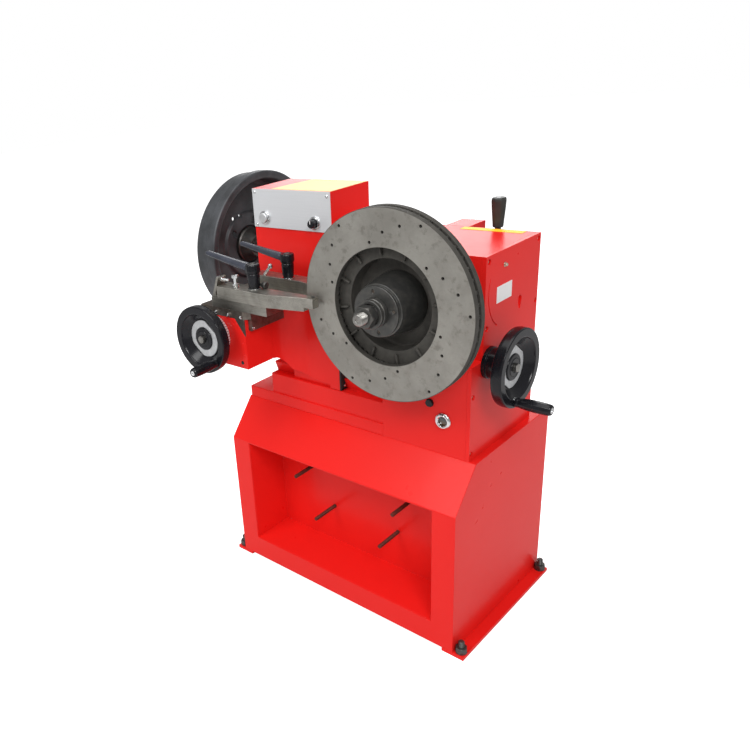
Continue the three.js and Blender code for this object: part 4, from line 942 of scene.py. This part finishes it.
def build_disc():
    holes = disc_holes()
    front = turned("y", DISC, [(109, -20), (179, -20), (179, -9), (109, -9)], 144, 0.9, closed=True)
    rear = turned("y", DISC, [
        (179, -1), (179, 10), (97, 10), (92, 15), (92, 34), (88, 38), (32, 38), (32, 32), (84, 32), (86, 28),
        (86, -1),
    ], 144, 1.0, closed=True)
    piece("brake_disc_front_plate", [front], "disc_rotor", disc_iron, ("brake_disc",), 0, holes)
    piece("brake_disc_rear_plate", [rear], "disc_rotor", disc_iron, (), 0, holes)
    piece("brake_disc_vanes", disc_ribs(), "disc_rotor", disc_iron)
    screw_places = on_circle(DISC[::2], 37, np.radians((8, 98, 188, 278)))
    sinks = [rod("y", (x, 0, z), 3.9, -51, -40, 24) for x, z in screw_places]
    bell = turned("y", DISC, [
        (20.3, -44), (46.2, -44), (47, -43.2), (47, -39), (44.8, -38), (44.8, -35.6), (49, -34.4),
        (50.6, -27), (54.4, -4), (57.6, 18), (58, 31.7), (51, 31.7), (46, 0), (40, -35), (20.3, -35),
    ], 96, 0.8, closed=True)
    piece("clamp_bell_turned", [bell], "disc_rotor", black_steel, ("clamp_bell",), 0, sinks)
    heads = [socket_screw("-y", (x, 0, z), 3.3, 40, 42.6, 3.2, 1.8, 30) for x, z in screw_places]
    piece("clamp_bell_screws", heads,
          "disc_rotor", dark_steel)
    piece("clamp_collar_turned", [turned("y", DISC, [
        (20.3, -63.7), (26, -63.7), (27, -62.8), (27, -57), (25.6, -56), (25.6, -54.6), (27, -53.6),
        (27, -44.3), (20.3, -44.3),
    ], 72, 0.5, closed=True)], "disc_rotor", black_steel, ("clamp_collar",))
    piece("clamp_nut_hexagon", [nut("y", DISC, 38, -82, -64, 11.8, 2.8)], "disc_rotor", black_screw,
          ("clamp_nut",))
    nose = thread("y", DISC, 11.5, -96.6, -57.5, 2.0, 0.9, 40, 8, 1.0)
    tip = turned("y", DISC, [
        (0, -92), (2.2, -93), (4.4, -98), (9.2, -98), (10.4, -97), (10.4, -91), (0, -91),
    ], 48, 0.3)
    body = turned("y", DISC, [
        (0, -59), (10.6, -59), (11.5, -58), (20, -50.5), (20, 37.8), (20, 38.3), (60, 38.3), (60, 50),
        (25, 50), (25, 208), (17, 208), (17, 246), (0, 246),
    ], 72, 0.5)
    piece("disc_spindle_turned", [nose, tip, body], "disc_rotor", shaft_steel, ("disc_spindle",))


# Drum spindle, drum and clamp


def build_drum():
    studs = on_circle(DRUM[1:], 62, [TURN * n / 5 for n in range(5)])
    bores = [rod("x", (0, y, z), 7, -180, -145, 20) for y, z in studs]
    for y, z in ((221.0, 799.9), (241.4, 803.3)):
        bores.append(rod("x", (0, y, z), 4.4, -180, -145, 20))
        bores.append(rod("x", (0, y + 6, z - 1), 13, -180, -160.5, 28))
    shell = turned("x", DRUM, [
        (32, -170), (120, -170), (163, -167), (172, -163), (178, -154), (178, -120), (179.4, -117),
        (182.4, -116), (184, -114), (184, -94), (182.6, -91), (178, -90), (171, -90.2), (166.4, -92),
        (163.6, -96), (163, -101), (163, -150), (155, -158), (90, -158), (85, -156.6), (81, -151.4),
        (78, -150), (51, -150), (48, -151.4), (46.4, -158), (32, -158),
    ], 144, 1.6, closed=True)
    piece("brake_drum_turned", [shell], "drum_rotor", drum_iron, ("brake_drum",), 0, bores)
    piece("drum_cone_turned", [turned("x", DRUM, [
        (20.3, -157.7), (44, -157.7), (44, -148.7), (41, -146), (28.5, -123), (27, -120), (20.3, -120),
    ], 72, 0.8, closed=True)], "drum_rotor", black_steel, ("drum_cone",))
    washer = turned("x", DRUM, [
        (20.3, -178.3), (41, -178.3), (42, -177.3), (42, -170.3), (20.3, -170.3),
    ], 64, 0.5, closed=True)
    hexed = nut("x", DRUM, 46, -200.3, -178.3, 14.3, 3.2)
    piece("drum_nut_hexagon", [washer, hexed], "drum_rotor", dark_steel, ("drum_nut",))
    end = thread("x", DRUM, 14, -212, -171, 2.5, 1.2, 40, 8, 1.6)
    body = turned("x", DRUM, [
        (0, -172), (13, -172), (20, -170), (20, 366), (17, 366), (17, 441), (0, 441),
    ], 64, 0.5)
    piece("drum_spindle_turned", [end, body], "drum_rotor", shaft_steel, ("drum_spindle",))


# Carriage: saddle, apron box and way plate


def build_carriage():
    softened("saddle_casting", "saddle", "carriage", red_cast, 2.0)
    marks = [rod("y", (x, 0, z), r, -65, -56.5, 20)
             for x, z, r in ((131, 585, 1.6), (131, 612, 1.6), (106, 652, 1.6))]
    softened("apron_box_casting", "apron_box", "carriage", red_cast, 2.0, marks)
    plug = turned("y", (123.2, 0, 566), [(0, -59.8), (3.6, -59.8), (4, -59.4), (4, -57), (0, -57)], 32, 0.2)
    piece("apron_plug", [plug], "carriage", black_gloss)
    # Way plate: a real dark ground-steel plate. Its bent flange round the apron's front corner is painted
    # shade: a dark sheet laid over a corner that is only in shadow.
    softened("way_plate_with_painted_shade_flange", "way_plate", "carriage", dark_steel, 0.8)
    heads = [socket_screw("-y", (x, 0, z), 4.4, 58.8, 63.4, 3.6, 2.0, 36)
             for x, z in ((58.7, 671.6), (95, 670), (132, 669.6))]
    lip = socket_screw("x", (0, -43, 644), 3.6, 148.1, 151, 3.2, 1.6, 30)
    piece("way_plate_screws", [*heads, lip], "carriage", chrome)
    softened("saddle_wiper_rubber", "saddle_wiper", "carriage", rubber, 0.4)
    heads = [socket_screw("x", (0, y, z), 3.2, 277.9, 280.4, 3.0, 1.4, 30)
             for y, z in ((88.8, 495), (88.8, 527), (228, 495), (228, 527))]
    piece("wiper_screws", heads, "carriage", chrome)


# Slide table, arms, bits and the stops on them

ARM_TOP = 731.3


def build_slide():
    softened("slide_table_ground", "slide_table", "cross_slide", arm_steel, 1.0)
    softened("front_arm_ground", "front_arm", "cross_slide", arm_steel, 1.6)
    softened("rear_arm_ground", "rear_arm", "cross_slide", arm_steel, 1.6)
    softened("front_bit_ground", "front_bit", "cross_slide", tool_steel, 0.3)
    softened("rear_bit_ground", "rear_bit", "cross_slide", tool_steel, 0.3)
    heads = [socket_screw("z", (311, y, 0), 3.2, 730.8, 732.4, 2.8, 1.0, 30) for y in (-35.5, 25.5)]
    piece("bit_screws", heads,
          "cross_slide", black_screw)
    softened("end_bracket_bent", "end_bracket", "cross_slide", arm_steel, 0.8)
    bolt_at = (0, -46, 741)
    bracket_nut = nut("x", bolt_at, 11, 58.4, 63.6, 0, 0.9, 48)
    bracket_bolt = thread("x", bolt_at, 2.9, 56, 92, 1.0, 0.4, 20)
    far_nut = nut("x", bolt_at, 11, 69.8, 74.6, 0, 0.9, 48)
    piece("bracket_bolt", [bracket_nut, bracket_bolt, far_nut], "cross_slide", chrome)
    x, y, top = 116, -50, 757
    seat = turned("z", (x, y, 0), [
        (0, ARM_TOP - 0.6), (7.2, ARM_TOP - 0.6), (7.2, ARM_TOP + 1.0), (4.2, ARM_TOP + 1.0), (4.2, top - 7),
        (0, top - 7),
    ], 32, 0.4)
    lock = nut("z", (x, y, 0), 12, ARM_TOP + 1, ARM_TOP + 7, 3.9, 1.0, 48)
    head = nut("z", (x, y, 0), 13, top - 7, top, 0, 1.2, 48)
    lean = np.linspace(0, 1, 9)[:, None]
    pin_path = np.array([106.0, 46, 730]) * (1 - lean) + np.array([127.0, 46, 753]) * lean
    pin = swept(pin_path, np.full(9, 3.2), np.full(9, 3.2), (0, 1, 0), 2.0, 20)
    ball = turned("z", (127, 46, 0), [
        (0, 747), (3.4, 747.6), (5.2, 750), (5.6, 753), (4.8, 756), (2.6, 758), (0, 758.6),
    ], 28, 0.6)
    piece("stop_bolts", [seat, lock, head, pin, ball], "cross_slide", chrome)
    knob = turned("x", (0, -30.5, 737.5), [
        (0, 176), (6.5, 176), (7.4, 178), (7.4, 184), (6.2, 186), (0, 186.4),
    ], 32, 0.6)
    stem = rod("x", (0, -30.5, 737.5), 3, 168, 177, 20, 0.2)
    piece("arm_lock_screw", [knob, stem], "cross_slide", black_screw)


def build_clamp(side, x, y, body):
    """A ratchet clamp lever: washer, round hub with a toothed crown, screw and a rising tapered arm."""
    at = (x, y, 0)
    foot = turned("z", at, [(0, 711.4), (6, 711.4), (6, 731.4), (13, 731.4), (13, 733), (0, 733)], 48, 0.3)
    piece(f"{side}_clamp_stud", [foot], body, chrome)

    def crown(angle, place, radius):
        """Sixteen teeth round the hub's crown, where the cosine of 16 angles is below 0."""
        teeth = 0.035 * (np.cos(16 * angle) > 0) * (radius > 9) * (place > 774) * (place < 782)
        return 1 - teeth

    hub = turned("z", at, [
        (0, 732.8), (10.4, 732.8), (11, 734), (12.2, 744), (13, 757), (13, 762), (12.2, 763.4), (12.2, 764.6),
        (14.2, 766), (15, 770), (14.6, 781), (13.2, 783.2), (8, 783.4), (7.4, 782), (0, 782),
    ], 96, 0.6, reach=crown)
    blunt = np.sin(np.linspace(0, 0.5 * math.pi - 0.12, 9))
    share = np.concatenate((np.linspace(0, 0.95, 13)[:-1], 0.95 + 0.05 * blunt))
    ends = np.concatenate((np.ones(12), np.sqrt(1 - blunt ** 2)))
    path = np.stack((x - 6 - 128 * share, np.full(21, y), 774.5 + 20 * share ** 1.1), -1)
    arm = swept(path, (11.0 - 4.5 * share) * ends, (7.6 - 3.1 * share) * ends, (0, 1, 0), 2.8, 32)
    piece(f"{side}_clamp_hub", [hub], body, black_gloss, (f"{side}_clamp_lever",))
    piece(f"{side}_clamp_handle", [arm], body, lever_black)
    piece(f"{side}_clamp_screw", [socket_screw("z", at, 6.6, 781.6, 784.4, 5.6, 2.4, 40)], body, black_screw)


# Handwheels

WHEELS = {
    "left": {
        "axis": "-y", "centre": (46.6, -109, 618.5), "seat": -49.6, "dial": (46, 13), "plane": (0, 2),
        "spoke": (math.cos(math.radians(-42)), 0, math.sin(math.radians(-42))),
    },
    "right": {
        "axis": "x", "centre": (648, 133, 597), "seat": -62.6, "dial": (31, 8), "plane": (1, 2),
        "spoke": (0, math.sin(math.radians(-12)), -math.cos(math.radians(-12))),
    },
}
HANDLE_RADIUS = 63
SCREW_LEAD = 5.0


def build_handwheel(side):
    """A dished wheel turned in one, a pale ring with two flats in its dish, a black hub cap with a
    screw, a dial behind it, and a turning handle on a pin. The left dial is bright and graduated."""
    facts = WHEELS[side]
    axis, seat, (wide, deep) = facts["axis"], facts["seat"], facts["dial"]
    centre = np.array(facts["centre"], float)
    body, held = f"{side}_wheel", f"{side}_grip"
    wheel = turned(axis, centre, [
        (8.3, -25), (29, -25), (47, -25), (60, -22.6), (62, -22), (70, -22), (74, -20), (75, -15), (75, -3.4),
        (74.4, -0.8), (73.2, 0), (59.6, 0), (58.2, -0.8), (57, -3.2), (43.4, -16.8), (41.6, -18), (25, -18),
        (8.3, -18),
    ], 128, 1.2, closed=True)
    piece(f"{side}_wheel_turned", [wheel], body, black_gloss, (f"{side}_handwheel",))

    def flats(angle, place, radius):
        """Two flats across the outer edge of the ring."""
        limit = 36.5 / np.maximum(np.abs(np.cos(angle - 0.9)), 1e-6)
        return np.where(radius > 33, np.minimum(radius, np.maximum(limit, 33)) / radius, 1.0)

    ring = turned(axis, centre, [
        (25, -18.4), (41, -18.4), (41, -16), (40.4, -15.4), (25.6, -15.4), (25, -16),
    ], 120, 0.3, closed=True, reach=flats)
    piece(f"{side}_wheel_ring", [ring], body, pale_metal)
    cap = turned(axis, centre, [
        (0, -18.3), (25.6, -18.3), (25.6, -14), (24.6, -12.6), (18, -12), (17, -11), (10, -11), (9, -12),
        (5, -12), (5, -13), (0, -13),
    ], 72, 0.6)
    piece(f"{side}_wheel_cap", [cap], body, black_gloss)
    screw = socket_screw(axis, centre, 4.8, -13.2, -11.2, 3.0, 1.6, 36)
    piece(f"{side}_wheel_screw", [screw], body, dark_steel)

    def knurl(angle, place, radius):
        """Small steps round the dial's edge."""
        return 1 - 0.012 * (np.cos(80 * angle) > 0) * (place < seat + deep - 2) * (radius > 30)

    dial = turned(axis, centre, [
        (8.3, seat), (wide - 0.6, seat), (wide, seat + 0.8), (wide, seat + deep - 1), (wide - 1, seat + deep),
        (29.6, seat + deep), (29, seat + deep + 0.6), (29, -25.4), (28, -24.8), (8.3, -24.8),
    ], 160, 0.3, closed=True, reach=knurl)
    if side == "left":
        at = ((centre + CORNER) * MILLIMETRE)[list(facts["plane"])]
        finish = "chrome", dial_ring("left_dial_ticks", *facts["plane"], (float(at[0]), float(at[1])))
        piece("left_dial", [dial], body, finish)
    else:
        piece("right_dial", [dial], body, black_gloss)

    handle_at = centre + HANDLE_RADIUS * np.array(facts["spoke"])
    pin = rod(axis, handle_at, 4, -17, 58, 24, 0.3)
    collar = turned(axis, handle_at, [
        (4.2, -3), (8.6, -3), (8.6, -0.2), (7.6, 0.1), (4.2, 0.1),
    ], 40, 0.4, closed=True)
    piece(f"{side}_handle_pin", [pin, collar], body, chrome)

    def grooves(angle, place, radius):
        """Shallow flats along the grip, fading out at its ends."""
        part = np.mod(angle, TURN / 10) - TURN / 20
        flat = math.cos(TURN / 20) / np.cos(part)
        middle = np.clip((place - 12) / 8, 0, 1) * np.clip((64 - place) / 8, 0, 1)
        return 1 + (flat - 1) * middle * (radius > 6)

    grip = turned(axis, handle_at, [
        (4.3, 0.3), (8.4, 0.3), (9, 1.2), (9, 5), (8.4, 7), (9.6, 13), (11.3, 27), (11.5, 42), (11.2, 57),
        (10.4, 64.5), (8.6, 67.6), (6.4, 68), (6.2, 66.4), (0, 66.4), (0, 58.3), (4.3, 58.3), (4.3, 0.3),
    ], 80, 0.9, reach=grooves)
    piece(f"{side}_handle_grip", [grip], held, black_gloss, (f"{side}_handle",))
    piece(f"{side}_handle_end", [socket_screw(axis, handle_at, 5.9, 65.6, 68, 3.6, 1.8, 32)], held, chrome)


def build_screws():
    """The two feed screws, with a 5 mm lead where they run in their nuts."""
    feed = (0, 133, 597)
    plain = turned("x", feed, [
        (0, 336), (8, 336), (8, 336.7), (14, 336.7), (14, 344.7), (8, 344.7), (8, 643), (0, 643),
    ], 48, 0.4)
    piece("feed_screw_threaded", [thread("x", feed, 8, 200, 336.5, SCREW_LEAD, 1.5, 32, 10), plain],
          "right_wheel", shaft_steel, ("feed_screw",))
    cross = (46.6, 0, 618.5)
    plain = turned("y", cross, [
        (0, -104), (8, -104), (8, -50.7), (14, -50.7), (14, -42.7), (8, -42.7), (8, -41), (0, -41),
    ], 48, 0.4)
    piece("cross_screw_threaded", [thread("y", cross, 8, -42, 160, SCREW_LEAD, 1.5, 32, 10), plain],
          "left_wheel", shaft_steel, ("cross_screw",))


build_stand()
build_castings()
build_controls()
build_fittings()
build_disc()
build_drum()
build_carriage()
build_slide()
build_clamp("front", 164, -44, "front_clamp")
build_clamp("rear", 173, 49.8, "rear_clamp")
build_handwheel("left")
build_handwheel("right")
build_screws()


# Floor, background and lights

FLOOR_HALF = 14.0
FLOOR_HEIGHT = -0.0005
FLOOR_GLOW = 0.9
WORLD_LIGHT = 0.40
WHITE = (1, 1, 1, 1)


def background_share(tree):
    """1 for rays that see the background: from the camera or through glass."""
    path = tree.nodes.new("ShaderNodeLightPath")
    larger = tree.nodes.new("ShaderNodeMath")
    larger.operation = "MAXIMUM"
    tree.links.new(path.outputs["Is Camera Ray"], larger.inputs[0])
    tree.links.new(path.outputs["Is Transmission Ray"], larger.inputs[1])
    return larger.outputs[0]


def build_floor():
    """A pale floor that keeps the shadow and glows towards the camera only."""
    mesh = bpy.data.meshes.new("floor")
    signs = ((-1, -1), (1, -1), (1, 1), (-1, 1))
    corners = [(x * FLOOR_HALF, y * FLOOR_HALF, FLOOR_HEIGHT) for x, y in signs]
    mesh.from_pydata(corners, [], [(0, 1, 2, 3)])
    floor = bpy.data.objects.new("floor", mesh)
    bpy.context.scene.collection.objects.link(floor)
    paint = Paint("pale_floor", base_color=(0.80, 0.80, 0.80), roughness=0.85, specular_ior_level=0.1)
    tree = paint.tree
    glow = tree.nodes.new("ShaderNodeEmission")
    glow.inputs["Color"].default_value = WHITE
    lift = tree.nodes.new("ShaderNodeMath")
    lift.operation = "MULTIPLY"
    lift.inputs[1].default_value = FLOOR_GLOW
    tree.links.new(background_share(tree), lift.inputs[0])
    tree.links.new(lift.outputs[0], glow.inputs["Strength"])
    both = tree.nodes.new("ShaderNodeAddShader")
    tree.links.new(paint.shader.outputs[0], both.inputs[0])
    tree.links.new(glow.outputs[0], both.inputs[1])
    output = next(node for node in tree.nodes if node.type == "OUTPUT_MATERIAL")
    tree.links.new(both.outputs[0], output.inputs["Surface"])
    mesh.materials.append(paint.material)


def build_world():
    """White where the camera sees it, and an even plain light on everything else."""
    world = bpy.data.worlds.new("studio")
    bpy.context.scene.world = world
    world.use_nodes = True
    tree = world.node_tree
    tree.nodes.clear()
    output = tree.nodes.new("ShaderNodeOutputWorld")
    seen = tree.nodes.new("ShaderNodeBackground")
    seen.inputs["Color"].default_value = WHITE
    light = tree.nodes.new("ShaderNodeBackground")
    light.inputs["Color"].default_value = WHITE
    light.inputs["Strength"].default_value = WORLD_LIGHT
    mix = tree.nodes.new("ShaderNodeMixShader")
    tree.links.new(background_share(tree), mix.inputs[0])
    tree.links.new(light.outputs[0], mix.inputs[1])
    tree.links.new(seen.outputs[0], mix.inputs[2])
    tree.links.new(mix.outputs[0], output.inputs["Surface"])


def build_lamp(name, place, target, size, power):
    """A round soft lamp at a place, turned towards its target."""
    data = bpy.data.lights.new(name, "AREA")
    data.shape = "DISK"
    data.size = size
    data.energy = power
    lamp = bpy.data.objects.new(name, data)
    lamp.location = place
    lamp.rotation_mode = "QUATERNION"
    lamp.rotation_quaternion = (Vector(target) - Vector(place)).to_track_quat("-Z", "Y")
    bpy.context.scene.collection.objects.link(lamp)


build_floor()
build_world()
build_lamp("key_lamp", (2.3, -2.0, 3.0), (0, 0, 0.5), 1.3, 60)
build_lamp("front_lamp", (-0.7, -2.7, 3.0), (0, 0, 0.4), 1.7, 46)
build_lamp("top_lamp", (0.2, -0.3, 3.3), (0, 0, 0.5), 2.4, 30)
build_lamp("back_lamp", (-1.8, 2.9, 2.0), (0, 0, 0.6), 2.2, 30)

bpy.context.scene.view_settings.view_transform = "Standard"
